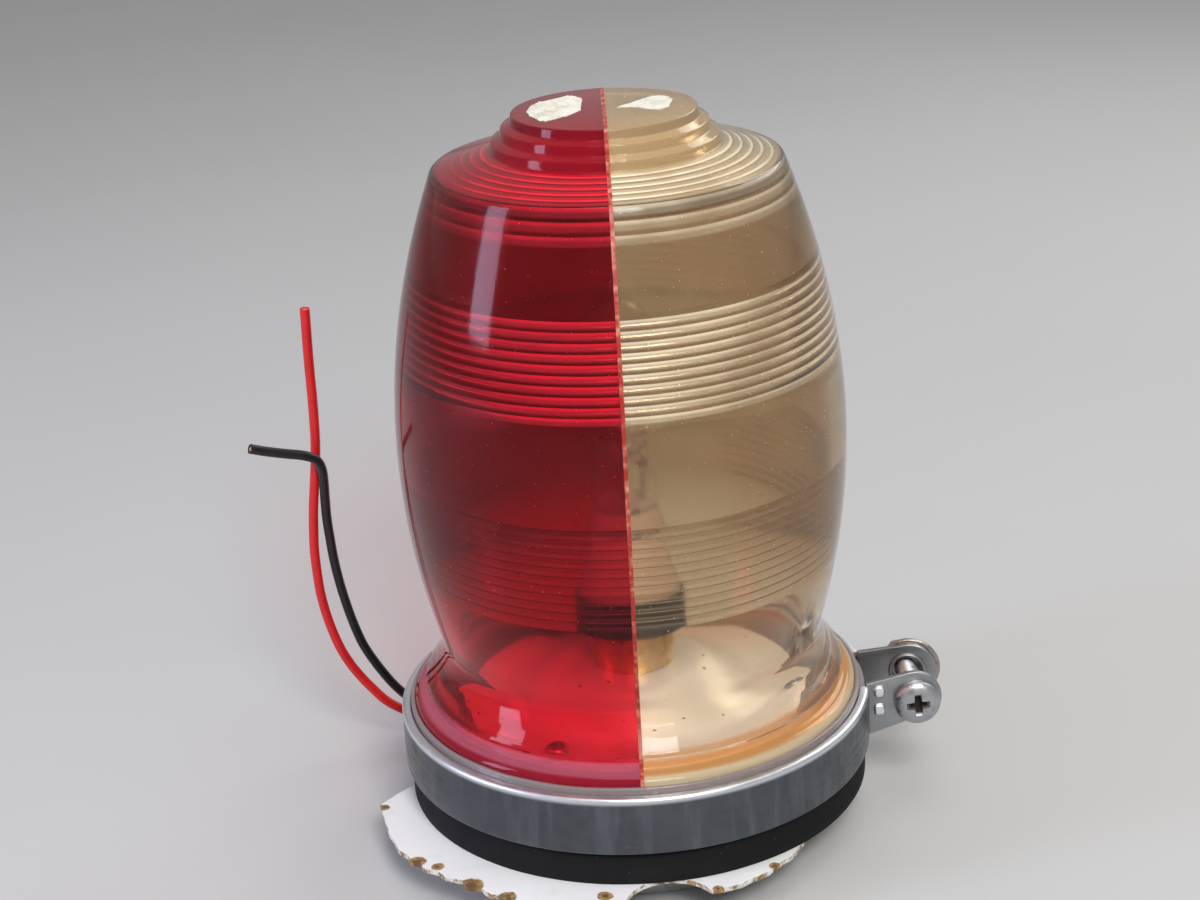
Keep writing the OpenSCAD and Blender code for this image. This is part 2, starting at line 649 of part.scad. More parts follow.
// Two rods: a short one to the lower end of the helix and a long one up its middle to the upper end
rod_r = 0.6;
module tube_electrodes() {
    low_end = helix_path[0];
    high_end = helix_path[len(helix_path) - 1];
    color("#9c9da0") {
        translate([low_end.x, low_end.y, envelope_z + glass_t])
            cylinder(r = rod_r, h = low_end.z - helix_tube_r - envelope_z - glass_t - 0.1);
        translate([0, 0, envelope_z + glass_t]) cylinder(r = rod_r, h = high_end.z + 3 - envelope_z - glass_t);
        translate([0, -rod_r, high_end.z + 3 - 2 * rod_r]) cube([high_end.x, 2 * rod_r, 2 * rod_r]);
        translate([high_end.x, 0, high_end.z + helix_tube_r + 0.1])
            cylinder(r = rod_r, h = 3 - helix_tube_r - 0.1);
    }
}

// Power supply
part_z = board_z + board_t;

module circuit_board()
    color("#3f6b3a") translate([0, 0, board_z]) difference() {
        cylinder(r = board_r, h = board_t);
        ring_of(board_boss_angles, board_boss_r) translate([0, 0, -1]) cylinder(r = 1.5, h = 4);
    }

module board_screws()
    color("#b0b2b5") ring_of(board_boss_angles, board_boss_r) translate([0, 0, part_z])
        pan_screw(2.2, 1.5, pilot_r - slip, board_t + 5);

module storage_capacitor()
    color("#27364f") translate([0.25 - board_boss_r / 2, 7, part_z]) cylinder(r = 8.5, h = 11.5);

core_at = [13.5, 8, part_z];
module inverter_core()
    color("#3a3a3c") translate(core_at) difference() {
        translate([-8, -6.5, 0]) cube([16, 13, 11]);
        translate([-5.6, -7, 2.4]) cube([11.2, 14, 6.2]);
    }

module inverter_winding()
    color("#a4582a") translate(core_at) translate([-5.5, -5.8, 2.5]) cube([11, 11.6, 6]);

module trigger_coil()
    color("#1f2a3c") translate([2, -18, part_z]) cylinder(r = 4.4, h = 9);

module power_transistor()
    color("#202124") translate([board_boss_r / 2 - 2.25, 8.5 - board_boss_r, part_z]) {
        cube([10, 9, 4.4]);
        translate([0, 9, 0]) cube([10, 5, 1.3]);
    }

module lying_part(at, r, l) translate(at + [0, 0, r]) rotate([0, 90, 0]) cylinder(r = r, h = l);

module diodes() color("#161616") for (i = [0 : 2]) lying_part([-12, -13 - 4 * i, part_z], 1.4, 6);

module resistors() color("#b89b6a") for (i = [0 : 2]) lying_part([-4.5, 17 + board_r / 7 * i, part_z], 1.7, 9);

module timing_capacitors()
    color("#7a3b1c") for (x = [9.5, 16.5]) translate([x - board_r, -7, part_z]) cylinder(r = 2.8, h = 7);

terminal_len = 9;
terminal_face_r = cavity_r - 7.5;
module lead_terminals()
    color("#2f5a8c") rotate(lead_angle) translate([terminal_face_r - terminal_len, -5, lead_z - 2])
        cube([terminal_len, 10, board_z - lead_z + 2]);

// Leads. The two ways out lie lead_pitch apart across the way that the leads leave.
lead_r = lead_d / 2;
grommet_face = spigot_r + 1;
terminal_top = board_z;
across = [lead_out.y, -lead_out.x, 0];
function exit_point(side) = grommet_face * lead_out + side * lead_pitch / 2 * across + [0, 0, lead_z];

module inner_leads()
    color("#8d2420") lead_bars(lead_r, terminal_face_r, grommet_face);

module lead_bars(r, from_r, to_r)
    for (side = [-1, 1]) rotate(lead_angle) translate([from_r, side * lead_pitch / 2, lead_z])
        rotate([0, 90, 0]) cylinder(r = r, h = to_r - from_r);

module lead_grommet()
    color("#141416") difference() {
        union() {
            along_leads(cavity_r - 1.2, grommet_face) stadium(grommet_w - 2 * slip, grommet_h - 2 * slip);
            along_leads(spigot_r + 0.15, grommet_face) stadium(grommet_w + 1.2, grommet_h + 0.4);
        }
        lead_bars(lead_r + slip, cavity_r - 3, grommet_face + 1);
    }

red_route = [[-38.25, 26.5, 5.3], [-42.5, 29.5, 5.5], [-47, 31.8, 6.2], [-51.5, 32.5, 7.6], [-55.5, 31.5, 10],
    [-59, 30.5, 13], [-62, 30, 16.8], [-64.5, 29.5, 20.5], [-66.5, 28.5, 24.5], [-68.2, 27.5, 29], [-69.6, 27, 34],
    [-70.6, 26.5, 39], [-71.2, 25.5, 44.5], [-71.4, 25, 50], [-71.4, 24.5, 55.5], [-71, 24, 61], [-70.4, 23, 66.5],
    [-69.6, 22.5, 72], [-68.8, 22, 77.5], [-68.2, 21.5, 83], [-67.9, 21, 88.5], [-67.7, 20.5, 94], [-67.6, 20, 99.5],
    [-67.4, 19, 105], [-67.2, 18.5, 110.3], [-67, 18, 115.5]];
black_route = [[-36.15, 29.3, 5.3], [-40.5, 32.3, 5.6], [-45.2, 34.6, 6.4], [-50, 35.8, 8], [-54, 35.4, 11],
    [-57, 34.2, 15], [-59.5, 33, 19.5], [-61.6, 31.8, 24], [-63.3, 30.6, 28.5], [-64.6, 29.6, 33.5],
    [-65.6, 28.6, 38.5], [-66.4, 27.6, 43.5], [-67, 26.6, 48.5], [-67.4, 25.6, 53.5], [-67.6, 24.8, 58.5],
    [-67.7, 23.8, 63.5], [-67.5, 22.6, 68.5], [-67.2, 21.2, 73.5], [-67.2, 19.8, 77.5], [-68.2, 18.4, 80.2],
    [-70.6, 17, 81.8], [-74, 15.5, 83], [-77.8, 13.8, 84.4], [-81.4, 12, 86]];

module red_lead()
    color("#e02a22") swept_tube(concat([exit_point(-1)], red_route), lead_r, 8, [0, 0, 1]);

module black_lead()
    color("#1b1a1e") swept_tube(concat([exit_point(1)], black_route), lead_r, 8, [0, 0, 1]);

lens_red_half();
lens_clear_half();
lens_seam_cement();
lens_edge_seal();
clamp_band();
clamp_front_lug();
clamp_rear_lug();
lug_welds();
clamp_screw();
clamp_washer();
clamp_nut();
base_housing();
base_gasket();
skin_plate();
mounting_screws();
anchor_nuts();
bottom_cover();
cover_gasket();
cover_screws();
reflector();
reflector_screws();
socket_shell();
socket_collar();
socket_insert();
socket_contacts();
socket_wires();
tube_base();
tube_pins();
tube_envelope();
flash_helix();
tube_electrodes();
circuit_board();
board_screws();
storage_capacitor();
inverter_core();
inverter_winding();
trigger_coil();
power_transistor();
diodes();
resistors();
timing_capacitors();
lead_terminals();
inner_leads();
lead_grommet();
red_lead();
black_lead();
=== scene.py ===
"""Looks of an aircraft strobe light: a split red and clear lens clamped to a base on a broken piece of skin.

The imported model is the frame. Pieces that need finer shapes replace their nodes, and every other node gets
its finish.
"""
import sys
import logging
import math
from collections.abc import Callable, Sequence
from dataclasses import dataclass, field
from enum import Enum

import bmesh
import bpy
from mathutils import Matrix, Vector, noise


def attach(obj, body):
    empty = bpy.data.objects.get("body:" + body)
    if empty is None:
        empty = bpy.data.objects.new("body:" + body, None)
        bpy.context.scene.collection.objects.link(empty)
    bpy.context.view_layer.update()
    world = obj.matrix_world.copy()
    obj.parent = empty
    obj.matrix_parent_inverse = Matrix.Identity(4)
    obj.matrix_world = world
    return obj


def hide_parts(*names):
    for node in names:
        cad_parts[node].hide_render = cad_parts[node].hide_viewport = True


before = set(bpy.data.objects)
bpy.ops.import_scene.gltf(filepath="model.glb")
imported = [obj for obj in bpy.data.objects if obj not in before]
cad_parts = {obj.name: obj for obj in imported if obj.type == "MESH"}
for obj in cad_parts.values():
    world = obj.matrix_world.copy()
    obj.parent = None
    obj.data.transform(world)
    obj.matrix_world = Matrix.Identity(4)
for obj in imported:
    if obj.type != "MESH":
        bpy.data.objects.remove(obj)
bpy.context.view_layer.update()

MM = 0.001
TURN = 2 * math.pi
LOG = logging.getLogger("strobe_light")

Point2 = tuple[float, float]
Point3 = tuple[float, float, float]
Corner = tuple[float, float, float]
Band = tuple[float, float, float, float]
Colour = tuple[float, float, float]
Shape = tuple[list[Point3], list[list[int]]]
Socket = bpy.types.NodeSocket


class Body(Enum):
    """The rigid bodies that new pieces ride on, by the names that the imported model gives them."""

    BASE = "base"
    LENS = "lens"
    SCREW = "clamp_screw"


class Side(Enum):
    """The two halves of the lens, by the sign of X on which each lies."""

    RED = -1
    CLEAR = 1


class Tree:
    """The node tree of one finish, with short ways to add nodes and join them."""

    def __init__(self, name: str) -> None:
        """Starts an empty material.

        Args:
            name: the material's name.
        """
        self.material = bpy.data.materials.new(name)
        self.material.use_nodes = True
        self.nodes = self.material.node_tree.nodes
        self.links = self.material.node_tree.links
        self.nodes.clear()
        self.output = self.nodes.new("ShaderNodeOutputMaterial")
        self.place = self.nodes.new("ShaderNodeTexCoord").outputs["Object"]

    def put(self, socket: Socket, value: object) -> None:
        """Joins a socket to another one, or sets its own value.

        Args:
            socket: the input that is set.
            value: an output socket, a number, or a colour of three or four numbers.
        """
        if isinstance(value, bpy.types.NodeSocket):
            self.links.new(value, socket)
        elif isinstance(value, tuple) and socket.type == "RGBA" and len(value) == 3:
            socket.default_value = (*value, 1.0)
        else:
            socket.default_value = value

    def add(self, kind: str, inputs: dict[object, object] | None = None,
            **settings: object) -> bpy.types.Node:
        """Adds a node.

        Args:
            kind: the node's Blender class without its leading "ShaderNode".
            inputs: values or sockets for its inputs, by name or number.
            **settings: the node's own settings.

        Returns:
            The new node.
        """
        node = self.nodes.new("ShaderNode" + kind)
        for key, value in settings.items():
            setattr(node, key, value)
        for key, value in (inputs or {}).items():
            self.put(node.inputs[key], value)
        return node

    def sum(self, kind: str, a: object, b: object = 0.0, c: object = 0.0, clamp: bool = False) -> Socket:
        """Works out one step of arithmetic; kind is its name, such as "MULTIPLY"."""
        return self.add("Math", {0: a, 1: b, 2: c}, operation=kind, use_clamp=clamp).outputs[0]

    def grain(self, scale: float, detail: float = 4.0, rough: float = 0.55, stretch: Point3 = (1.0, 1.0, 1.0),
              place: Socket | None = None) -> Socket:
        """Adds noise over the surface.

        Args:
            scale: features per metre.
            detail: octaves of the noise.
            rough: how strong the finer octaves are.
            stretch: factors on the three coordinates.
            place: the coordinates, or the object's own if left out.

        Returns:
            A socket with values around one half.
        """
        where = self.add("Mapping", {0: place or self.place, 3: stretch}).outputs[0]
        return self.add("TexNoise", {"Vector": where, "Scale": scale, "Detail": detail,
                                     "Roughness": rough}).outputs[0]

    def specks(self, scale: float, size: float, share: float) -> Socket:
        """Scatters small round specks.

        Args:
            scale: cells per metre, each of which may hold a speck.
            size: radius of a speck in cells.
            share: share of the cells that hold one.

        Returns:
            A socket that is 1 in a speck and 0 elsewhere.
        """
        cell = self.add("TexVoronoi", {"Vector": self.place, "Scale": scale, "Randomness": 1.0})
        near = self.ramp(cell.outputs["Distance"], size * 0.6, size, 1.0, 0.0)
        pick = self.add("SeparateColor", {0: cell.outputs["Color"]}).outputs[0]
        return self.sum("MULTIPLY", near, self.sum("LESS_THAN", pick, share))

    def ramp(self, value: object, low: float, high: float, at_low: float = 0.0,
             at_high: float = 1.0) -> Socket:
        """Maps the values from low to high smoothly onto another stretch, level beyond both ends."""
        return self.add("MapRange", {0: value, 1: low, 2: high, 3: at_low, 4: at_high},
                        interpolation_type="SMOOTHSTEP").outputs[0]

    def mix(self, share: object, first: object, second: object) -> Socket:
        """Mixes two colours.

        Args:
            share: how much of the second one shows.
            first: colour or socket at 0.
            second: colour or socket at 1.

        Returns:
            The mixed colour's socket.
        """
        node = self.add("Mix", data_type="RGBA")
        self.put(node.inputs[0], share)
        self.put(node.inputs[6], first)
        self.put(node.inputs[7], second)
        return node.outputs[2]

    def bump(self, height: Socket, depth_mm: float, below: Socket | None = None) -> Socket:
        """Turns a height into surface relief.

        Args:
            height: socket with the height.
            depth_mm: how deep a step of 1 is, in millimetres.
            below: the normal of relief that this one lies on.

        Returns:
            The normal's socket.
        """
        node = self.add("Bump", {"Strength": 1.0, "Distance": depth_mm * MM, "Height": height})
        if below is not None:
            self.put(node.inputs["Normal"], below)
        return node.outputs[0]

    def split(self, place: Socket) -> Sequence[Socket]:
        """Gives the three parts of some coordinates."""
        return self.add("SeparateXYZ", {0: place}).outputs

    def round_z(self) -> Socket:
        """Gives coordinates round the Z axis: length along a circle of 50 mm radius, radius and height.

        Returns:
            The coordinates' socket, in metres.
        """
        parts = self.split(self.place)
        along = self.sum("MULTIPLY", self.sum("ARCTAN2", parts[1], parts[0]), 50 * MM)
        flat = self.add("CombineXYZ", {0: parts[0], 1: parts[1]}).outputs[0]
        radius = self.add("VectorMath", {0: flat}, operation="LENGTH").outputs["Value"]
        return self.add("CombineXYZ", {0: along, 1: radius, 2: parts[2]}).outputs[0]

    def surface(self, colour: object, rough: object, relief: Socket | None = None,
                more: dict[object, object] | None = None) -> bpy.types.Node:
        """Adds the shader of a surface.

        Args:
            colour: its colour.
            rough: its roughness.
            relief: the normal of its relief, if it has any.
            more: its other inputs, by name.

        Returns:
            The shader's node.
        """
        node = self.add("BsdfPrincipled", {"Base Color": colour, "Roughness": rough, **(more or {})})
        if relief is not None:
            self.put(node.inputs["Normal"], relief)
        return node

    def lit_through(self, shader: bpy.types.Node, share: float) -> bpy.types.Node:
        """Lets lamps shine through a clear piece.

        Args:
            shader: the shader that is seen.
            share: how much of the lamps' light comes through its surface.

        Returns:
            The node that joins both.
        """
        lamps = self.add("BsdfTransparent", {"Color": (share, share, share)})
        both = self.add("MixShader", {0: self.add("LightPath").outputs["Is Shadow Ray"]})
        self.links.new(shader.outputs[0], both.inputs[1])
        self.links.new(lamps.outputs[0], both.inputs[2])
        return both

    def finish(self, shader: bpy.types.Node, volume: bpy.types.Node | None = None) -> bpy.types.Material:
        """Joins the last shader to the output.

        Args:
            shader: the surface shader.
            volume: the volume shader, if there is one.

        Returns:
            The finished material.
        """
        self.links.new(shader.outputs[0], self.output.inputs["Surface"])
        if volume is not None:
            self.links.new(volume.outputs[0], self.output.inputs["Volume"])
        return self.material


@dataclass(frozen=True)
class Finish:
    """A finish with a name; each kind says how it is painted."""

    name: str

    def paint(self, tree: Tree) -> bpy.types.Material:
        """Builds the material in a fresh tree; each kind of finish has its own way."""
        raise NotImplementedError

    def material(self) -> bpy.types.Material:
        """Gives the finish's material, built once."""
        made = bpy.data.materials.get(self.name)
        return made or self.paint(Tree(self.name))


@dataclass(frozen=True)
class ClearPlastic(Finish):
    """Dyed acrylic that has aged: tinted through its depth, hazy, speckled and lightly scratched.

    Where prism ribs or rings lie behind the outer surface it shows painted highlight lines in place of the
    light that they catch, and these fade away from the seam. Lengths are in millimetres. Each band of lines
    has its start, its end, the pitch of its lines and their strength.
    """

    depth_colour: Colour
    depth_strength: float
    film: Colour
    # Tint of the lens below the barrel, far lighter than the barrel's: painted brightness standing in for the
    # lit reflector seen through it.
    lightened_foot_film: Colour
    bead_film: Colour
    crown_film: Colour
    # Groove colour: on the red half a painted highlight line, on the clear half the groove's own orange line.
    groove_film_and_highlight: Colour
    # Colour of the painted highlight lines.
    glow: Colour
    film_share: float
    glow_share: float = 0.6
    crown_share: float = 0.3
    foot_share: float = 0.38
    rough: float = 0.08
    foot_rough: float = 0.015
    inner_rough: float = 0.1
    ior: float = 1.49
    bands: tuple[Band, ...] = ((63.5, 86.05, 2.05, 0.25), (108.1, 128.6, 2.05, 1.0), (141.4, 149.2, 2.6, 0.8))
    rings: Band = (23.8, 36.3, 2.0833, 1.4)
    glow_near: float = 14.0
    glow_far: float = 40.0
    far_glow: float = 0.65
    crown_z: float = 149.15
    film_start: float = 50.0
    film_end: float = 66.0
    bead_z: float = 32.3
    groove_top: float = 35.2

    def lines(self, tree: Tree, where: Socket, band: Band) -> Socket:
        """Draws the painted highlight lines of one band of ribs.

        Args:
            tree: the material's tree.
            where: the height or radius, in metres.
            band: the band's start, end and pitch, in millimetres, and how strong its lines are.

        Returns:
            A socket that is near the strength on a line and 0 in the gaps and outside the band.
        """
        start, end, pitch = (v * MM for v in band[:3])
        edge = 0.1 * MM
        within = tree.sum("MULTIPLY", tree.ramp(where, start, start + edge),
                          tree.ramp(where, end - edge, end, 1.0, 0.0))
        part = tree.sum("FRACT", tree.sum("DIVIDE", tree.sum("SUBTRACT", where, start), pitch))
        broad = tree.ramp(part, 0.1, 0.4, 0.0, 0.5)
        sharp = tree.ramp(part, 0.55, 0.85, 0.0, 0.5)
        both = tree.sum("MULTIPLY", tree.sum("ADD", broad, sharp), tree.ramp(part, 0.93, 1.0, 1.0, 0.0))
        return tree.sum("MULTIPLY", both, tree.sum("MULTIPLY", within, band[3]))

    def painted_highlight_lines(self, tree: Tree, around: Socket, crown: Socket, inside: Socket) -> Socket:
        """Draws every painted highlight line, a little uneven, on the outer surface only, fading away from
        the seam.

        Args:
            tree: the material's tree.
            around: coordinates round the axis.
            crown: 1 on the sloping crown and 0 below it.
            inside: the mesh's layer that is 0 on the outer surface.

        Returns:
            A socket with the lines' strength.
        """
        parts = tree.split(around)
        line = tree.sum("MULTIPLY", self.lines(tree, parts[1], self.rings), crown)
        for band in self.bands:
            line = tree.sum("MAXIMUM", line, self.lines(tree, parts[2], band))
        uneven = tree.ramp(tree.grain(60, 3, 0.6, (0.5, 1.0, 1.0), around), 0.3, 0.6, 0.65, 1.0)
        line = tree.sum("MULTIPLY", tree.sum("MULTIPLY", line, uneven), tree.sum("LESS_THAN", inside, 0.05))
        # The painted highlights fade away from the seam.
        off_seam = tree.sum("ABSOLUTE", tree.split(tree.place)[0])
        highlight_fade = tree.ramp(off_seam, self.glow_near * MM, self.glow_far * MM, 1.0, self.far_glow)
        return tree.sum("MULTIPLY", line, highlight_fade)

    def paint(self, tree: Tree) -> bpy.types.Material:
        """Builds the lens plastic; lamps shine through it, tinted by its depth.

        Args:
            tree: a fresh tree.

        Returns:
            The material.
        """
        patchy = tree.grain(90, 5)
        dust = tree.specks(900, 0.2, 0.12)
        scratch = tree.grain(240, 3, 0.6, (1.0, 1.0, 0.06))
        relief = tree.bump(tree.sum("ADD", tree.grain(35, 2), tree.sum("MULTIPLY", scratch, 0.06)), 0.02)
        inside = tree.add("Attribute", attribute_name="inside").outputs["Fac"]
        around = tree.round_z()
        height = tree.split(around)[2]
        crown = tree.ramp(height, self.crown_z * MM, (self.crown_z + 0.4) * MM)
        line = self.painted_highlight_lines(tree, around, crown, inside)
        level = tree.ramp(height, self.film_start * MM, self.film_end * MM)
        over_bead = tree.ramp(height, (self.bead_z - 0.3) * MM, (self.bead_z + 0.3) * MM)
        over_groove = tree.ramp(height, (self.groove_top - 1.2) * MM, self.groove_top * MM)
        low = tree.sum("MULTIPLY_ADD", level, self.rough - self.foot_rough, self.foot_rough)
        rough = tree.sum("ADD", tree.sum("ADD", low, tree.ramp(patchy, 0.35, 0.75, 0.0, 0.04)),
                         tree.sum("MULTIPLY", dust, 0.2), clamp=True)
        rough = tree.sum("MAXIMUM", rough, tree.sum("MULTIPLY", inside, self.inner_rough))
        # The lighter tint low on the lens is painted brightness, and the groove's colour is partly a painted
        # highlight line.
        film = tree.mix(over_groove, self.groove_film_and_highlight, tree.mix(level, self.lightened_foot_film, self.film))
        film = tree.mix(crown, tree.mix(over_bead, self.bead_film, film), self.crown_film)
        haze = tree.ramp(tree.sum("ADD", patchy, dust), 0.3, 1.5, self.film_share, 4 * self.film_share)
        foot = tree.sum("SUBTRACT", 1.0, over_groove)
        for where, share in ((crown, self.crown_share), (foot, self.foot_share), (line, self.glow_share)):
            haze = tree.sum("MAXIMUM", haze, tree.sum("MULTIPLY", where, share))
        # On the lines the colour turns to the glow colour and transmission drops: a painted highlight.
        plastic = tree.surface(tree.mix(line, film, self.glow), rough, relief, {
            "IOR": self.ior, "Transmission Weight": tree.sum("SUBTRACT", 1.0, haze, clamp=True),
            "Specular Tint": (0.3, 0.3, 0.3)})
        depth = tree.add("VolumeAbsorption", {"Color": self.depth_colour, "Density": self.depth_strength})
        return tree.finish(tree.lit_through(plastic, 0.97), depth)


@dataclass(frozen=True)
class Glass(Finish):
    """Clear drawn glass of the flash tube."""

    tint: Colour = (0.97, 0.99, 0.99)
    rough: float = 0.01

    def paint(self, tree: Tree) -> bpy.types.Material:
        """Builds thin glass with faint draw lines; lamps shine through it.

        Args:
            tree: a fresh tree.

        Returns:
            The material.
        """
        lines = tree.grain(300, 2, 0.5, (1.0, 1.0, 0.03))
        rough = tree.ramp(lines, 0.3, 0.7, self.rough, self.rough + 0.03)
        glass = tree.surface(self.tint, rough, tree.bump(lines, 0.01),
                             {"IOR": 1.47, "Transmission Weight": 1.0})
        return tree.finish(tree.lit_through(glass, 0.95))


@dataclass(frozen=True)
class SatinSheet(Finish):
    """Stainless sheet with a satin face, faint dark marks and a few stains; round a band it also has painted
    reflection streaks and a painted highlight along its rolled top lip.
    """

    colour: Colour
    mark: Colour = (0.16, 0.16, 0.17)
    stain: Colour = (0.35, 0.26, 0.12)
    rough: float = 0.34
    round_grain: bool = True
    # Colour of the painted highlight along the rolled top lip, and the height where it is brightest.
    lip_highlight: Colour = (0.75, 0.78, 0.82)
    lip_highlight_z: float = 28.9

    def paint(self, tree: Tree) -> bpy.types.Material:
        """Builds the sheet; its grain runs round the band, with painted reflection streaks and a painted
        highlight along the rolled top edge, or along a lug.

        Args:
            tree: a fresh tree.

        Returns:
            The material.
        """
        where = tree.round_z() if self.round_grain else tree.place
        hairs = tree.grain(900, 3, 0.6, (0.05, 1.0, 1.0), where)
        blotch = tree.grain(170, 6, 0.6)
        marks = tree.ramp(tree.grain(420, 5, 0.7, (1.0, 1.0, 0.35)), 0.64, 0.76)
        dots = tree.specks(500, 0.22, 0.06)
        stains = tree.ramp(tree.grain(55, 4), 0.68, 0.78, 0.0, 0.6)
        colour = tree.mix(tree.ramp(blotch, 0.35, 0.7), self.colour, tuple(0.86 * c for c in self.colour))
        colour = tree.mix(tree.sum("MULTIPLY", marks, 0.4), colour, self.mark)
        colour = tree.mix(tree.sum("MULTIPLY", dots, 0.7), colour, self.mark)
        colour = tree.mix(stains, colour, self.stain)
        if self.round_grain:
            # Lighter vertical streaks round the band: painted reflections.
            reflection_streaks = tree.ramp(tree.grain(260, 4, 0.6, (1.0, 0.0, 0.12), where), 0.45, 0.75, 0.0, 0.45)
            colour = tree.mix(reflection_streaks, colour, tuple(1.9 * c for c in self.colour))
            # Lighter just under the top edge: a painted highlight along the rolled lip.
            lip_highlight_mask = tree.ramp(tree.split(where)[2], (self.lip_highlight_z - 1.1) * MM, self.lip_highlight_z * MM)
            colour = tree.mix(lip_highlight_mask, colour, self.lip_highlight)
        rough = tree.sum("ADD", tree.ramp(hairs, 0.3, 0.7, self.rough - 0.06, self.rough + 0.08),
                         tree.ramp(blotch, 0.4, 0.7, 0.0, 0.1), clamp=True)
        relief = tree.bump(blotch, 0.02, tree.bump(hairs, 0.006))
        return tree.finish(tree.surface(colour, rough, relief, {"Metallic": 1.0}))


@dataclass(frozen=True)
class TurnedMetal(Finish):
    """Bare metal of a turned, pressed or cast piece, with blotches of grime, small nicks and painted shade
    deep in a recess.
    """

    colour: Colour
    grime: Colour
    rough: float
    grime_share: float
    scale: float
    # Near-black colour deep in a recess: painted shade.
    recess_shade: Colour = (0.025, 0.018, 0.013)

    def paint(self, tree: Tree) -> bpy.types.Material:
        """Builds the metal; where the mesh's hollow attribute nears 1, deep in a recess, it is near-black
        painted shade.

        Args:
            tree: a fresh tree.

        Returns:
            The material.
        """
        blotch = tree.grain(self.scale, 6, 0.65)
        nicks = tree.specks(self.scale * 2.2, 0.2, 0.15)
        dirt = tree.sum("MULTIPLY", tree.ramp(blotch, 0.5, 0.75), self.grime_share)
        # Painted shade: the recess darkens to near black with depth.
        recess_shade_mask = tree.ramp(tree.add("Attribute", attribute_name="hollow").outputs["Fac"], 0.05, 0.45)
        colour = tree.mix(recess_shade_mask, tree.mix(dirt, self.colour, self.grime), self.recess_shade)
        blotched = tree.ramp(blotch, 0.3, 0.75, self.rough - 0.05, self.rough + 0.25)
        relief = tree.bump(tree.sum("SUBTRACT", blotch, nicks), 0.02)
        return tree.finish(tree.surface(colour, tree.sum("MAXIMUM", recess_shade_mask, blotched), relief,
                                        {"Metallic": tree.sum("SUBTRACT", 1.0, recess_shade_mask)}))


@dataclass(frozen=True)
class SpunReflector(Finish):
    """Bright spun metal, a little milky, with dust and small brown flecks."""

    colour: Colour = (1.0, 0.98, 0.95)
    dust: Colour = (0.78, 0.7, 0.58)
    fleck: Colour = (0.2, 0.12, 0.06)
    rough: float = 0.3
    metal: float = 0.25

    def paint(self, tree: Tree) -> bpy.types.Material:
        """Builds the reflector sheet, with spin lines round its axis.

        Args:
            tree: a fresh tree.

        Returns:
            The material.
        """
        lines = tree.grain(1500, 2, 0.5, (0.02, 1.0, 1.0), tree.round_z())
        haze = tree.grain(120, 4)
        flecks = tree.specks(330, 0.16, 0.2)
        colour = tree.mix(tree.ramp(haze, 0.35, 0.7, 0.0, 0.25), self.colour, self.dust)
        rough = tree.ramp(haze, 0.3, 0.7, self.rough, self.rough + 0.1)
        return tree.finish(tree.surface(tree.mix(flecks, colour, self.fleck), rough, tree.bump(lines, 0.008),
                                        {"Metallic": tree.sum("SUBTRACT", self.metal, flecks, clamp=True)}))


@dataclass(frozen=True)
class Moulded(Finish):
    """Rubber or moulded plastic: an even colour with fine pores, dust in them and rubbed spots."""

    colour: Colour
    dust: Colour
    rough: float
    dust_share: float
    pore_mm: float
    scale: float
    see_into: float = 0.0
    shine: float = 0.5

    def paint(self, tree: Tree) -> bpy.types.Material:
        """Builds the moulding.

        Args:
            tree: a fresh tree.

        Returns:
            The material.
        """
        pores = tree.grain(self.scale, 5, 0.6)
        broad = tree.grain(self.scale / 9, 4)
        dusty = tree.sum("MULTIPLY", tree.ramp(broad, 0.45, 0.75), self.dust_share)
        colour = tree.mix(dusty, self.colour, self.dust)
        colour = tree.mix(tree.specks(self.scale * 1.3, 0.2, 0.1), colour, self.dust)
        rough = tree.ramp(broad, 0.3, 0.7, self.rough - 0.08, self.rough + 0.1)
        return tree.finish(tree.surface(colour, rough, tree.bump(pores, self.pore_mm), {
            "Specular IOR Level": self.shine, "Transmission Weight": self.see_into}))


@dataclass(frozen=True)
class ChippedPaint(Finish):
    """White paint over primer and bare sheet, chipped where the mesh says so and along its broken edge."""

    paint_colour: Colour = (0.83, 0.84, 0.85)
    soil: Colour = (0.55, 0.53, 0.48)
    rim: Colour = (0.5, 0.42, 0.3)
    primer: Colour = (0.4, 0.25, 0.08)
    dark_primer: Colour = (0.2, 0.12, 0.05)
    metal: Colour = (0.17, 0.1, 0.05)

    def paint(self, tree: Tree) -> bpy.types.Material:
        """Builds the layers; the mesh's wear attribute is 1 where the paint has gone.

        Args:
            tree: a fresh tree.

        Returns:
            The material.
        """
        wear = tree.add("Attribute", attribute_name="wear").outputs["Fac"]
        ragged = tree.sum("MULTIPLY", tree.sum("SUBTRACT", tree.grain(420, 5, 0.7), 0.5), 0.55)
        edge = tree.sum("ADD", wear, ragged)
        gone = tree.ramp(edge, 0.48, 0.54)
        deep = tree.ramp(edge, 0.8, 0.95)
        soiled = tree.sum("MULTIPLY", tree.ramp(tree.grain(110, 6, 0.7), 0.5, 0.8), 0.35)
        colour = tree.mix(soiled, self.paint_colour, self.soil)
        rim = tree.sum("SUBTRACT", tree.ramp(edge, 0.4, 0.48), gone, clamp=True)
        colour = tree.mix(tree.sum("MULTIPLY", rim, 0.5), colour, self.rim)
        primer = tree.mix(tree.ramp(tree.grain(800, 4), 0.4, 0.6), self.primer, self.dark_primer)
        colour = tree.mix(gone, colour, tree.mix(deep, primer, self.metal))
        relief = tree.bump(tree.sum("SUBTRACT", tree.grain(500, 3), tree.sum("MULTIPLY", gone, 4.0)), 0.03)
        return tree.finish(tree.surface(colour, tree.ramp(edge, 0.4, 0.6, 0.35, 0.7), relief,
                                        {"Metallic": tree.sum("MULTIPLY", deep, 0.3)}))


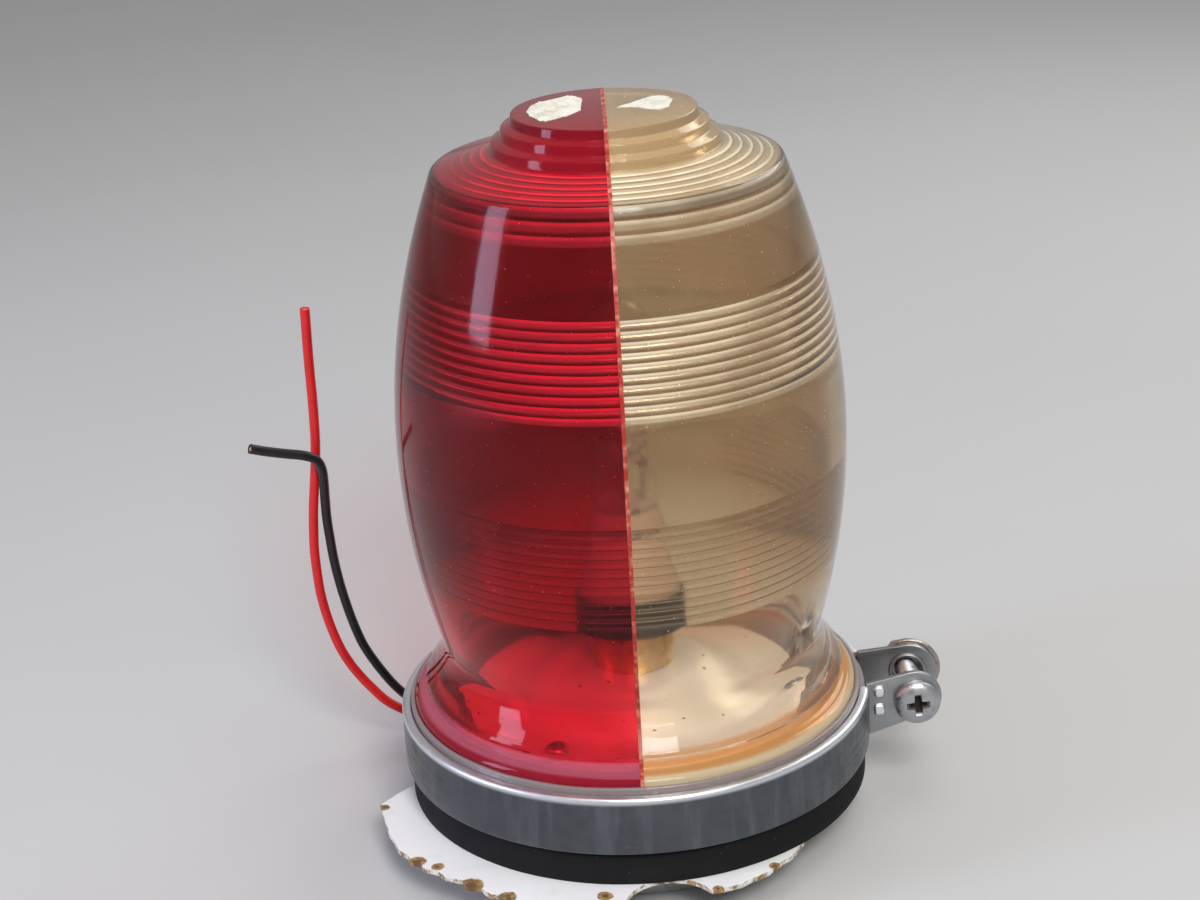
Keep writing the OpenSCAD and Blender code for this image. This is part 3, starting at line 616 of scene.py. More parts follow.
@dataclass(frozen=True)
class OldPaint(Finish):
    """Thick brushed paint left on the top of the lens, crazed and soiled at its rim."""

    colour: Colour = (0.78, 0.77, 0.68)
    soil: Colour = (0.6, 0.56, 0.45)
    crack: Colour = (0.4, 0.33, 0.24)

    def paint(self, tree: Tree) -> bpy.types.Material:
        """Builds the patch of paint.

        Args:
            tree: a fresh tree.

        Returns:
            The material.
        """
        cells = tree.add("TexVoronoi", {"Vector": tree.place, "Scale": 420.0}, feature="DISTANCE_TO_EDGE")
        crazed = tree.ramp(cells.outputs[0], 0.0, 0.035, 1.0, 0.0)
        colour = tree.mix(tree.ramp(tree.grain(260, 5), 0.4, 0.75), self.colour, self.soil)
        colour = tree.mix(tree.sum("MULTIPLY", crazed, 0.5), colour, self.crack)
        relief = tree.bump(tree.sum("SUBTRACT", tree.grain(300, 5), crazed), 0.08)
        return tree.finish(tree.surface(colour, 0.6, relief))


@dataclass(frozen=True)
class Insulation(Finish):
    """Plastic insulation of a lead, smooth, a little waxy and soiled here and there."""

    colour: Colour

    def paint(self, tree: Tree) -> bpy.types.Material:
        """Builds the insulation.

        Args:
            tree: a fresh tree.

        Returns:
            The material.
        """
        soil = tree.ramp(tree.grain(200, 5), 0.5, 0.8, 0.0, 0.5)
        colour = tree.mix(soil, self.colour, tuple(0.45 * c for c in self.colour))
        rough = tree.ramp(tree.grain(500, 4), 0.3, 0.7, 0.3, 0.45)
        return tree.finish(tree.surface(colour, rough, tree.bump(tree.grain(900, 3), 0.02)))


RED_PLASTIC = ClearPlastic(
    "red_lens_plastic", depth_colour=(0.947, 0.5, 0.55), depth_strength=430.0, film=(0.47, 0.05, 0.07),
    lightened_foot_film=(0.99, 0.09, 0.14), bead_film=(0.5, 0.02, 0.05), crown_film=(0.62, 0.02, 0.05),
    groove_film_and_highlight=(0.8, 0.2, 0.3), glow=(0.98, 0.015, 0.04), film_share=0.03, crown_share=0.22, far_glow=0.2)
AMBER_PLASTIC = ClearPlastic(
    "aged_clear_lens_plastic", depth_colour=(0.77, 0.6, 0.3), depth_strength=100.0, film=(0.69, 0.57, 0.42),
    lightened_foot_film=(1.0, 0.98, 0.93), bead_film=(0.98, 0.84, 0.58), crown_film=(0.78, 0.6, 0.36),
    groove_film_and_highlight=(0.93, 0.48, 0.19), glow=(1.0, 0.89, 0.66), film_share=0.045)
SEAM_CEMENT = Moulded("orange_seam_cement", (0.36, 0.022, 0.012), (0.9, 0.45, 0.28), 0.3, 0.6, 0.08, 3600.0)
EDGE_RUBBER = Moulded("translucent_edge_rubber", (0.72, 0.62, 0.62), (0.8, 0.76, 0.76), 0.18, 0.3, 0.01,
                      300.0, see_into=0.7)
TUBE_GLASS = Glass("flash_tube_glass")
HELIX_GLASS = Glass("flash_helix_glass", (0.9, 0.93, 0.96), 0.05)
# The band's steel is coloured far darker than the lugs' to paint in dark reflections round it.
BAND_STEEL = SatinSheet("clamp_band_steel", (0.115, 0.125, 0.14))
LUG_STEEL = SatinSheet("clamp_lug_steel", (0.36, 0.37, 0.38), round_grain=False)
SCREW_STEEL = TurnedMetal("clamp_screw_steel", (0.46, 0.47, 0.49), (0.1, 0.09, 0.08), 0.3, 0.4, 500.0)
WASHER_STEEL = TurnedMetal("washer_steel", (0.42, 0.37, 0.34), (0.12, 0.09, 0.07), 0.3, 0.5, 500.0)
# Weld metal coloured near white, far lighter than the lugs: a painted glint on real weld beads.
WELD_GLINT_STEEL = TurnedMetal("weld_beads", (0.85, 0.86, 0.88), (0.3, 0.3, 0.3), 0.22, 0.2, 700.0)
CAST_METAL = TurnedMetal("cast_base_metal", (0.45, 0.46, 0.47), (0.12, 0.12, 0.12), 0.45, 0.6, 350.0)
GOLD_PLATE = TurnedMetal("gold_socket_shell", (0.72, 0.5, 0.2), (0.2, 0.12, 0.05), 0.25, 0.4, 400.0)
CONTACT_BRASS = TurnedMetal("contact_brass", (0.75, 0.58, 0.28), (0.25, 0.15, 0.07), 0.25, 0.3, 700.0)
WIRE_METAL = TurnedMetal("electrode_wire", (0.5, 0.5, 0.52), (0.2, 0.2, 0.2), 0.35, 0.3, 900.0)
COPPER = TurnedMetal("copper_strands", (0.8, 0.4, 0.22), (0.25, 0.12, 0.07), 0.3, 0.4, 1200.0)
REFLECTOR_METAL = SpunReflector("spun_reflector_metal")
BLACK_RUBBER = Moulded("black_gasket_rubber", (0.005, 0.005, 0.006), (0.03, 0.029, 0.028), 0.7, 0.2, 0.06,
                       600.0, shine=0.2)
COLLAR_PLASTIC = Moulded("black_collar_plastic", (0.006, 0.005, 0.005), (0.03, 0.025, 0.02), 0.6, 0.3, 0.02,
                         800.0, shine=0.2)
BROWN_LAMINATE = Moulded("brown_insert_laminate", (0.2, 0.11, 0.06), (0.32, 0.22, 0.14), 0.5, 0.4, 0.02,
                         700.0)
PINK_CERAMIC = Moulded("pink_tube_ceramic", (0.86, 0.7, 0.66), (0.78, 0.62, 0.56), 0.55, 0.5, 0.04, 500.0)
GREEN_BOARD = Moulded("green_board_laminate", (0.03, 0.14, 0.05), (0.12, 0.2, 0.1), 0.4, 0.3, 0.01, 900.0)
BLUE_SLEEVE = Moulded("blue_capacitor_sleeve", (0.02, 0.05, 0.13), (0.15, 0.17, 0.22), 0.3, 0.3, 0.01, 600.0)
DARK_CORE = Moulded("dark_core_ferrite", (0.035, 0.035, 0.037), (0.12, 0.11, 0.1), 0.5, 0.3, 0.03, 900.0)
BLACK_CHIP = Moulded("black_moulded_chip", (0.014, 0.014, 0.015), (0.09, 0.09, 0.09), 0.45, 0.2, 0.02, 900.0)
TAN_BODY = Moulded("tan_resistor_body", (0.42, 0.28, 0.15), (0.55, 0.42, 0.28), 0.45, 0.4, 0.02, 900.0)
BROWN_DIP = Moulded("brown_dipped_body", (0.2, 0.06, 0.02), (0.32, 0.16, 0.08), 0.3, 0.3, 0.02, 700.0)
BLUE_BLOCK = Moulded("blue_terminal_block", (0.02, 0.1, 0.25), (0.15, 0.22, 0.3), 0.4, 0.3, 0.02, 700.0)
WIRE_SLEEVE = Moulded("pale_wire_sleeve", (0.6, 0.57, 0.5), (0.4, 0.36, 0.3), 0.45, 0.4, 0.01, 900.0)
SKIN_PAINT = ChippedPaint("chipped_skin_paint")
TOP_PAINT = OldPaint("old_paint_patch")
RED_INSULATION = Insulation("red_lead_insulation", (0.62, 0.012, 0.014))
BLACK_INSULATION = Insulation("black_lead_insulation", (0.008, 0.008, 0.01))


def filleted(corners: Sequence[Corner], steps: int = 5, closed: bool = True) -> list[Point2]:
    """Rounds the corners of an outline.

    Args:
        corners: points with the radius of each one's fillet.
        steps: segments in each fillet.
        closed: whether the last point joins the first.

    Returns:
        The outline's points.
    """
    most = 0.46
    line: list[Point2] = []
    count = len(corners)
    for i, (x, y, radius) in enumerate(corners):
        if radius <= 0 or (not closed and i in (0, count - 1)):
            line.append((x, y))
            continue
        here = Vector((x, y))
        back = Vector(corners[i - 1][:2]) - here
        on = Vector(corners[(i + 1) % count][:2]) - here
        turn = back.angle(on)
        reach = min(radius / max(math.tan(turn / 2), 0.05), most * back.length, most * on.length)
        a = here + back.normalized() * reach
        b = here + on.normalized() * reach
        for k in range(steps + 1):
            t = k / steps
            p = a * (1 - t) ** 2 + here * 2 * t * (1 - t) + b * t * t
            line.append((p.x, p.y))
    return line


def lump(x: float, y: float, z: float) -> float:
    """Gives smooth noise from about -1 to 1 at a place."""
    return noise.noise(Vector((x, y, z)))


def mesh_of(name: str, shape: Shape, weld: float, shortest: float = 0.0) -> bpy.types.Mesh:
    """Makes a closed mesh with its faces turned outwards.

    Args:
        name: its name.
        shape: its points, in millimetres, and its faces.
        weld: points nearer to each other than this are joined, in metres.
        shortest: edges shorter than this are taken out, in metres.

    Returns:
        The mesh, in metres.
    """
    mesh = bpy.data.meshes.new(name)
    mesh.from_pydata([Vector(p) * MM for p in shape[0]], [], shape[1])
    work = bmesh.new()
    work.from_mesh(mesh)
    bmesh.ops.remove_doubles(work, verts=work.verts, dist=weld)
    if shortest:
        bmesh.ops.dissolve_degenerate(work, edges=work.edges, dist=shortest)
    bmesh.ops.recalc_face_normals(work, faces=work.faces)
    work.to_mesh(mesh)
    work.free()
    return mesh


def make(name: str, shape: Shape, finish: Finish, body: Body, replaced: Sequence[str] = (),
         sharp: float = 32.0) -> bpy.types.Object:
    """Makes a piece from a shape in millimetres; its edges over an angle in degrees stay sharp."""
    mesh = mesh_of(name, shape, 0.001 * MM, 0.0001 * MM)
    return settle(bpy.data.objects.new(name, mesh), finish, body, replaced, sharp)


def settle(piece: bpy.types.Object, finish: Finish, body: Body, replaced: Sequence[str] = (),
           sharp: float = 32.0) -> bpy.types.Object:
    """Puts a piece into the scene with its finish and body, and hides the CAD nodes that it replaces.

    Args:
        piece: the new object, not yet linked.
        finish: its finish.
        body: the body that it rides on.
        replaced: CAD nodes that it stands for.
        sharp: angle over which an edge of a mesh stays sharp, in degrees.

    Returns:
        The same object.
    """
    bpy.context.scene.collection.objects.link(piece)
    piece.data.materials.append(finish.material())
    if piece.type == "MESH":
        piece.data.shade_smooth()
        piece.data.set_sharp_from_angle(angle=math.radians(sharp))
    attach(piece, body.value)
    if replaced:
        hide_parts(*replaced)
    LOG.info("made %s: %s", piece.name, finish.name)
    return piece


def dress(finish: Finish, *nodes: str) -> None:
    """Gives CAD nodes their finish.

    Args:
        finish: the finish.
        *nodes: the nodes' names.
    """
    for name in nodes:
        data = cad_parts[name].data
        data.materials.clear()
        data.materials.append(finish.material())
        LOG.info("dressed %s: %s", name, finish.name)


def ring(first: int, sides: int) -> list[int]:
    """Gives the numbers of one ring's points, which is also the face that closes it."""
    return list(range(first, first + sides))


def rows(rings: int, sides: int, wrap: bool = False) -> list[list[int]]:
    """Gives the faces between rings of points.

    Args:
        rings: number of rings.
        sides: points in each ring.
        wrap: whether the last ring joins the first.

    Returns:
        The faces.
    """
    faces = []
    for j in range(rings if wrap else rings - 1):
        here, there = j * sides, (j + 1) % rings * sides
        for k in range(sides):
            on = (k + 1) % sides
            faces.append([here + k, there + k, there + on, here + on])
    return faces


def joined(shapes: Sequence[Shape]) -> Shape:
    """Puts several shapes together as one.

    Args:
        shapes: the shapes.

    Returns:
        Their points and faces.
    """
    points: list[Point3] = []
    faces: list[list[int]] = []
    for more_points, more_faces in shapes:
        faces += [[i + len(points) for i in face] for face in more_faces]
        points += more_points
    return points, faces


def hoop(centre: Vector, across: Vector, other: Vector, r: float, sides: int) -> list[Point3]:
    """Gives points round a centre, r away from it, in the plane of two directions."""
    angles = [TURN * k / sides for k in range(sides)]
    return [tuple(centre + r * (math.cos(a) * across + math.sin(a) * other)) for a in angles]


def turned(profile: Sequence[Point2], segments: int, start: Callable[[float], float] | None = None,
           end: Callable[[float], float] | None = None) -> Shape:
    """Turns a closed outline round the Z axis, all the way or from a start angle to an end angle.

    Args:
        profile: outline as radius and height, in millimetres.
        segments: steps round the axis.
        start: gives the start angle at a radius, in radians; left out for a whole turn.
        end: gives the end angle at a radius, in radians.

    Returns:
        Points and faces.
    """
    whole = start is None or end is None
    rings = segments if whole else segments + 1
    count = len(profile)
    points: list[Point3] = []
    for j in range(rings):
        t = j / segments
        for r, z in profile:
            a = TURN * t if whole else start(r) + (end(r) - start(r)) * t
            points.append((r * math.cos(a), r * math.sin(a), z))
    faces = rows(rings, count, whole)
    if not whole:
        faces += [ring(0, count), ring((rings - 1) * count, count)[::-1]]
    return points, faces


def plate(loops: Sequence[Sequence[Point2]], thickness: float, edge: float) -> Shape:
    """Makes a flat plate with holes and rounded edges, from z = 0 up.

    Args:
        loops: closed outlines, the outer one first, in millimetres.
        thickness: its thickness.
        edge: radius of the rounding along its edges.

    Returns:
        Points and faces.
    """
    curve = bpy.data.curves.new("outline", "CURVE")
    curve.dimensions = "2D"
    curve.fill_mode = "BOTH"
    curve.extrude = (thickness / 2 - edge) * MM
    curve.bevel_depth = edge * MM
    curve.bevel_resolution = 2
    curve.offset = -edge * MM
    for loop in loops:
        spline = curve.splines.new("POLY")
        spline.points.add(len(loop) - 1)
        for point, (x, y) in zip(spline.points, loop):
            point.co = (x * MM, y * MM, 0, 1)
        spline.use_cyclic_u = True
    holder = bpy.data.objects.new("outline", curve)
    mesh = bpy.data.meshes.new_from_object(holder)
    points = [(v.co.x / MM, v.co.y / MM, v.co.z / MM + thickness / 2) for v in mesh.vertices]
    faces = [list(p.vertices) for p in mesh.polygons]
    bpy.data.objects.remove(holder)
    bpy.data.curves.remove(curve)
    bpy.data.meshes.remove(mesh)
    return points, faces


def circle(x: float, y: float, r: float, count: int = 48, start: float = 0.0,
           sweep: float = 360.0) -> list[Point2]:
    """Gives points on a circle or an arc.

    Args:
        x: centre.
        y: centre.
        r: radius.
        count: number of points.
        start: first angle in degrees.
        sweep: degrees covered; a whole turn leaves out its last point.

    Returns:
        The points.
    """
    steps = count if abs(sweep) >= 360 else count - 1
    angles = [math.radians(start + sweep * k / steps) for k in range(count)]
    return [(x + r * math.cos(a), y + r * math.sin(a)) for a in angles]


def moved(shape: Shape, matrix: Matrix) -> Shape:
    """Moves a shape by a matrix in millimetres and returns it."""
    return [tuple(matrix @ Vector(p)) for p in shape[0]], shape[1]


@dataclass
class Camera:
    """The camera, placed as fitted to the photograph: distances in millimetres, angles in degrees."""

    target: Point3 = (-4.741, 0.0, 85.665)
    distance: float = 496.52
    elevation: float = 21.285
    roll: float = -3.306
    focal_pixels: float = 2314.09
    picture_width: float = 1200.0
    sensor_width: float = 36.0

    def place(self) -> bpy.types.Object:
        """Makes the camera and gives it to the scene.

        Returns:
            The camera's object.
        """
        lift = math.radians(self.elevation)
        lean = math.radians(self.roll)
        back = Vector((0, -math.cos(lift), math.sin(lift)))
        right = Vector((1, 0, 0))
        up = right.cross(-back)
        across = math.cos(lean) * right + math.sin(lean) * up
        upward = -math.sin(lean) * right + math.cos(lean) * up
        data = bpy.data.cameras.new("camera")
        data.sensor_fit = "HORIZONTAL"
        data.sensor_width = self.sensor_width
        data.lens = self.focal_pixels * self.sensor_width / self.picture_width
        data.clip_start = 0.01
        camera = bpy.data.objects.new("camera", data)
        turn = Matrix((across, upward, back)).transposed().to_4x4()
        camera.matrix_world = Matrix.Translation((Vector(self.target) + back * self.distance) * MM) @ turn
        bpy.context.scene.collection.objects.link(camera)
        bpy.context.scene.camera = camera
        return camera


@dataclass
class Studio:
    """Plain pale floor, soft lamps and an even pale world."""

    floor_colour: Colour = (0.5, 0.5, 0.5)
    world_strength: float = 0.42

    def lamp(self, name: str, place: Point3, aim: Point3, size: Point2, watts: float, colour: Colour) -> None:
        """Hangs one soft lamp.

        Args:
            name: the lamp's name.
            place: where it hangs, in metres.
            aim: the point that it faces.
            size: width and height in metres.
            watts: its power.
            colour: its colour.
        """
        data = bpy.data.lights.new(name, "AREA")
        data.shape = "RECTANGLE"
        data.size, data.size_y = size
        data.energy = watts
        data.color = colour
        lamp = bpy.data.objects.new(name, data)
        lamp.location = place
        lamp.rotation_euler = (Vector(place) - Vector(aim)).to_track_quat("Z", "Y").to_euler()
        bpy.context.scene.collection.objects.link(lamp)

    def floor(self) -> None:
        """Lays the floor."""
        tree = Tree("pale_floor")
        shade = tuple(0.97 * c for c in self.floor_colour)
        tone = tree.mix(tree.ramp(tree.grain(4, 3), 0.3, 0.7), self.floor_colour, shade)
        material = tree.finish(tree.add("BsdfPrincipled", {"Base Color": tone, "Roughness": 0.9}))
        mesh = bpy.data.meshes.new("floor")
        mesh.from_pydata([(-12, -12, 0), (12, -12, 0), (12, 12, 0), (-12, 12, 0)], [], [[0, 1, 2, 3]])
        floor = bpy.data.objects.new("floor", mesh)
        floor.location.z = -0.0002
        floor.data.materials.append(material)
        bpy.context.scene.collection.objects.link(floor)

    def build(self) -> None:
        """Sets the world, the lamps and the floor."""
        scene = bpy.context.scene
        scene.view_settings.view_transform = "Standard"
        scene.cycles.caustics_refractive = False
        scene.cycles.caustics_reflective = False
        scene.cycles.max_bounces = 24
        scene.cycles.transmission_bounces = 24
        scene.cycles.transparent_max_bounces = 24
        world = bpy.data.worlds.new("pale_room")
        world.use_nodes = True
        nodes, links = world.node_tree.nodes, world.node_tree.links
        back = nodes["Background"]
        height = nodes.new("ShaderNodeSeparateXYZ")
        links.new(nodes.new("ShaderNodeTexCoord").outputs["Generated"], height.inputs[0])
        glow = nodes.new("ShaderNodeMapRange")
        links.new(height.outputs[2], glow.inputs["Value"])
        glow.inputs["To Min"].default_value = 0.85 * self.world_strength
        glow.inputs["To Max"].default_value = self.world_strength
        links.new(glow.outputs[0], back.inputs["Strength"])
        back.inputs["Color"].default_value = (1.0, 1.0, 1.0, 1.0)
        scene.world = world
        self.lamp("overhead", (0.1, -0.12, 0.95), (0, 0, 0.08), (0.6, 0.5), 2.2, (1.0, 0.99, 0.97))
        self.lamp("key", (0.16, -0.75, 0.72), (0, 0, 0.08), (0.3, 0.3), 7.0, (1.0, 0.98, 0.95))
        self.lamp("window", (-0.88, -0.24, 0.38), (0, 0, 0.09), (0.22, 0.5), 4.0, (0.72, 0.7, 1.0))
        self.lamp("rear_fill", (0.5, 0.55, 0.55), (0, 0, 0.1), (0.5, 0.4), 2.0, (1.0, 0.98, 0.95))
        self.floor()


@dataclass
class Leads:
    """The two loose leads, with bare cut ends; routes in millimetres from the grommet on."""

    diameter: float = 2.2
    red_route: tuple[Point3, ...] = (
        (-34.25, 23.5, 5.3), (-38.25, 26.5, 5.3), (-42.5, 29.5, 5.5), (-47, 31.8, 6.2), (-51.5, 32.5, 7.6),
        (-55.5, 31.5, 10), (-59, 30.5, 13), (-62, 30, 16.8), (-64.5, 29.5, 20.5), (-66.5, 28.5, 24.5),
        (-68.2, 27.5, 29), (-69.6, 27, 34), (-70.6, 26.5, 39), (-71.2, 25.5, 44.5), (-71.4, 25, 50),
        (-71.4, 24.5, 55.5), (-71, 24, 61), (-70.4, 23, 66.5), (-69.6, 22.5, 72), (-68.8, 22, 77.5),
        (-68.2, 21.5, 83), (-67.9, 21, 88.5), (-67.7, 20.5, 94), (-67.6, 20, 99.5), (-67.4, 19, 105),
        (-67.2, 18.5, 110.3), (-67, 18, 115.5))
    black_route: tuple[Point3, ...] = (
        (-32.15, 26.3, 5.3), (-36.15, 29.3, 5.3), (-40.5, 32.3, 5.6), (-45.2, 34.6, 6.4), (-50, 35.8, 8),
        (-54, 35.4, 11), (-57, 34.2, 15), (-59.5, 33, 19.5), (-61.6, 31.8, 24), (-63.3, 30.6, 28.5),
        (-64.6, 29.6, 33.5), (-65.6, 28.6, 38.5), (-66.4, 27.6, 43.5), (-67, 26.6, 48.5), (-67.4, 25.6, 53.5),
        (-67.6, 24.8, 58.5), (-67.7, 23.8, 63.5), (-67.5, 22.6, 68.5), (-67.2, 21.2, 73.5),
        (-67.2, 19.8, 77.5), (-68.2, 18.4, 80.2), (-70.6, 17, 81.8), (-74, 15.5, 83), (-77.8, 13.8, 84.4),
        (-81.4, 12, 86))

    def smooth(self, route: Sequence[Point3], steps: int = 4) -> list[Vector]:
        """Runs a smooth line through a route's points.

        Args:
            route: the points.
            steps: points on each stretch.

        Returns:
            Points on the line, in millimetres.
        """
        knots = [Vector(p) for p in route]
        line = []
        for i in range(len(knots) - 1):
            a, b = knots[i], knots[i + 1]
            before = knots[i - 1] if i else a * 2 - b
            after = knots[i + 2] if i + 2 < len(knots) else b * 2 - a
            for k in range(steps):
                t = k / steps
                line.append(0.5 * ((2 * a) + (b - before) * t + (2 * before - 5 * a + 4 * b - after) * t * t
                                   + (3 * a - before - 3 * b + after) * t ** 3))
        return line + [knots[-1]]

    def lead(self, name: str, route: Sequence[Point3], finish: Finish) -> bpy.types.Object:
        """Makes one lead, a tube with a cut end, and the copper strands in that end.

        Args:
            name: its node's name.
            route: its route.
            finish: its insulation.

        Returns:
            The lead's object.
        """
        line = self.smooth(route)
        sides = 16
        across = Vector((0, 0, 1))
        points: list[Point3] = []
        for i, here in enumerate(line):
            along = (line[min(i + 1, len(line) - 1)] - line[max(i - 1, 0)]).normalized()
            across = (across - across.dot(along) * along).normalized()
            points += hoop(here, across, along.cross(across), self.diameter / 2, sides)
        tip = line[-1]
        rim = points[-sides:]
        # the cut end: a flat ring of insulation round a shallow hollow
        for scale, push in ((0.62, 0.0), (0.6, -0.25)):
            points += [tuple(tip + (Vector(p) - tip) * scale + along * push) for p in rim]
        count = len(line) + 2
        faces = rows(count, sides) + [ring((count - 1) * sides, sides), ring(0, sides)[::-1]]
        piece = make(name + "_insulation", (points, faces), finish, Body.BASE,
                     (name,), 50)
        strands = self.strands(name + "_strands", tip, along, across)
        return piece

    def strands(self, name: str, tip: Vector, along: Vector, across: Vector) -> bpy.types.Object:
        """Makes the seven copper strands that show in a cut end.

        Args:
            name: the piece's name.
            tip: centre of the cut end.
            along: the lead's direction there.
            across: a direction square to it.

        Returns:
            The strands' object.
        """
        sides = 8
        other = along.cross(across)
        spots = [Vector((0, 0, 0))] + [0.42 * (math.cos(a) * across + math.sin(a) * other)
                                       for a in (math.radians(60 * k + 12) for k in range(6))]
        shapes = []
        for spot in spots:
            points: list[Point3] = []
            for push, r in ((-0.24, 0.19), (-0.1, 0.19), (-0.05, 0.12)):
                points += hoop(tip + spot + along * push, across, other, r, sides)
            shapes.append((points, rows(3, sides) + [ring(2 * sides, sides), ring(0, sides)[::-1]]))
        return make(name, joined(shapes), COPPER, Body.BASE)

    def build(self) -> None:
        """Makes both leads."""
        self.lead("red_lead", self.red_route, RED_INSULATION)
        self.lead("black_lead", self.black_route, BLACK_INSULATION)


@dataclass
class Lens:
    """The lens in two halves, the cement between them, the rubber round its foot and the paint on its top.

    Heights are over the foot. The eave is how far under the shoulder the inner wall ends, and the rib heights
    are how far the bands of ribs lie above the neck and below the shoulder.
    """

    foot_z: float = 24.0
    height: float = 136.0
    foot_r: float = 50.55
    foot_h: float = 4.05
    bead_r: float = 48.85
    bead_w: float = 2.3
    bead_top: float = 8.65
    groove_r: float = 45.65
    ridge_h: float = 11.55
    ridge_r: float = 46.05
    flare_h: float = 14.75
    flare_r: float = 43.85
    neck_h: float = 20.65
    neck_r: float = 41.35
    barrel_r: float = 48.0
    shoulder_r: float = 36.3
    shoulder_h: float = 125.15
    eave: float = 2.6
    disc_r: float = 19.1
    top_wall: float = 3.6
    steps: int = 3
    step_w: float = 2.2
    step_h: float = 2.7
    riser_h: float = 1.9
    riser_lean: float = 0.3
    ceiling_rings: int = 4
    wall: float = 3.2
    rib_depth: float = 0.9
    rib_pitch: float = 2.05
    upper_ribs: int = 10
    lower_ribs: int = 11
    low_ribs_up: float = 18.85
    high_ribs_down: float = 20.55
    cement: float = 0.4
    cement_out: float = 0.13
    chip_above: float = 0.42
    paint_t: float = 0.2
    paint_sunk: float = 0.02
    segments: int = 160
    rubber: tuple[Corner, ...] = (
        (43.05, 23.3, 0.1), (51.05, 23.3, 0.2), (51.05, 28.55, 0.2), (49.9, 28.55, 0.1), (49.9, 30.85, 0.35),
        (48.93, 30.85, 0.35), (48.93, 28.08, 0.0), (50.6, 28.08, 0.0), (50.6, 23.98, 0.0),
        (43.05, 23.98, 0.1))
    red_patch: tuple[Point2, ...] = (
        (-15.6, -0.6), (-15.0, 4.6), (-13.0, 8.7), (-8.8, 11.4), (-6.7, 12.7), (-4.1, 9.2), (-4.3, 4.6),
        (-4.8, -0.7), (-7.9, -6.1), (-10.9, -8.9), (-12.9, -8.4), (-14.9, -3.5))
    clear_patch: tuple[Point2, ...] = (
        (2.1, -0.7), (5.9, 2.9), (9.7, 7.5), (12.8, 7.6), (14.3, 4.4), (13.4, -1.8), (12.0, -5.0),
        (8.9, -3.3), (5.3, -0.6))

    def side_r(self, h: float) -> float:
        """Gives the outer radius of the barrel at a height over the foot.

        Args:
            h: the height, in millimetres.

        Returns:
            The radius, in millimetres.
        """
        low = self.barrel_r - self.neck_r
        high = self.barrel_r - self.shoulder_r
        reach = (self.shoulder_h - self.neck_h) * math.sqrt(low) / (math.sqrt(low) + math.sqrt(high))
        return self.barrel_r - low * ((h - self.neck_h - reach) / reach) ** 2

    def bare(self, h: float) -> float:
        """Gives the inner radius of the barrel's plain wall at a height over the foot."""
        return self.side_r(h) - self.wall

    def flare(self, share: float, inset: float = 0.0) -> Point2:
        """Gives a point of the curve from the ridge, share 0, to the neck, share 1, moved in by the inset."""
        return (self.neck_r - inset + (self.flare_r - self.neck_r) * (1 - share) ** 1.5,
                self.flare_h + (self.neck_h - self.flare_h) * share)

    def outer(self) -> list[Point2]:
        """Gives the outer profile from the foot's edge up to the axis.

        Returns:
            Points of radius and height over the foot, in millimetres.
        """
        bead = [(self.bead_r - self.bead_w * (1 - math.cos(a)), self.bead_top - 2 * (1 - math.sin(a)), 0.0)
                for a in (math.radians(10 * i) for i in range(10))]
        flare = [(*self.flare(i / 9), 0.0 if i else 0.6) for i in range(6)]
        step = (self.shoulder_h - self.neck_h) / 60
        barrel = [(self.neck_r, self.neck_h, 12.0)]
        barrel += [(self.side_r(self.neck_h + i * step), self.neck_h + i * step, 0.0) for i in range(3, 60)]
        crown: list[Corner] = []
        for i in reversed(range(self.steps)):
            r, h = self.disc_r + i * self.step_w, self.height - i * self.step_h
            crown += [(r + self.riser_lean, h - self.riser_h, 0.35), (r, h, 0.45)]
        corners = [
            (self.groove_r - self.wall + 0.05, 0, 0), (self.foot_r, 0, 0.4), (self.foot_r, self.foot_h, 0.4),
            (self.bead_r, self.foot_h, 0.2), *bead, (self.groove_r, self.bead_top + 0.4, 0.4),
            (self.groove_r, self.ridge_h - 0.9, 0.4), (self.ridge_r, self.ridge_h, 0.3),
            (self.ridge_r - 0.3, self.ridge_h + 0.6, 0.6), *flare, *barrel,
            (self.shoulder_r, self.shoulder_h, 1.6), *crown, (0, self.height, 0)]
        return filleted(corners, 5, closed=False)

    def plain(self, start: float, end: float, parts: int, first: int, last: int) -> list[Corner]:
        """Gives some of the points that cut a stretch of the plain inner wall into equal parts."""
        heights = [start + i * (end - start) / parts for i in range(first, last)]
        return [(self.bare(h), h, 0) for h in heights]

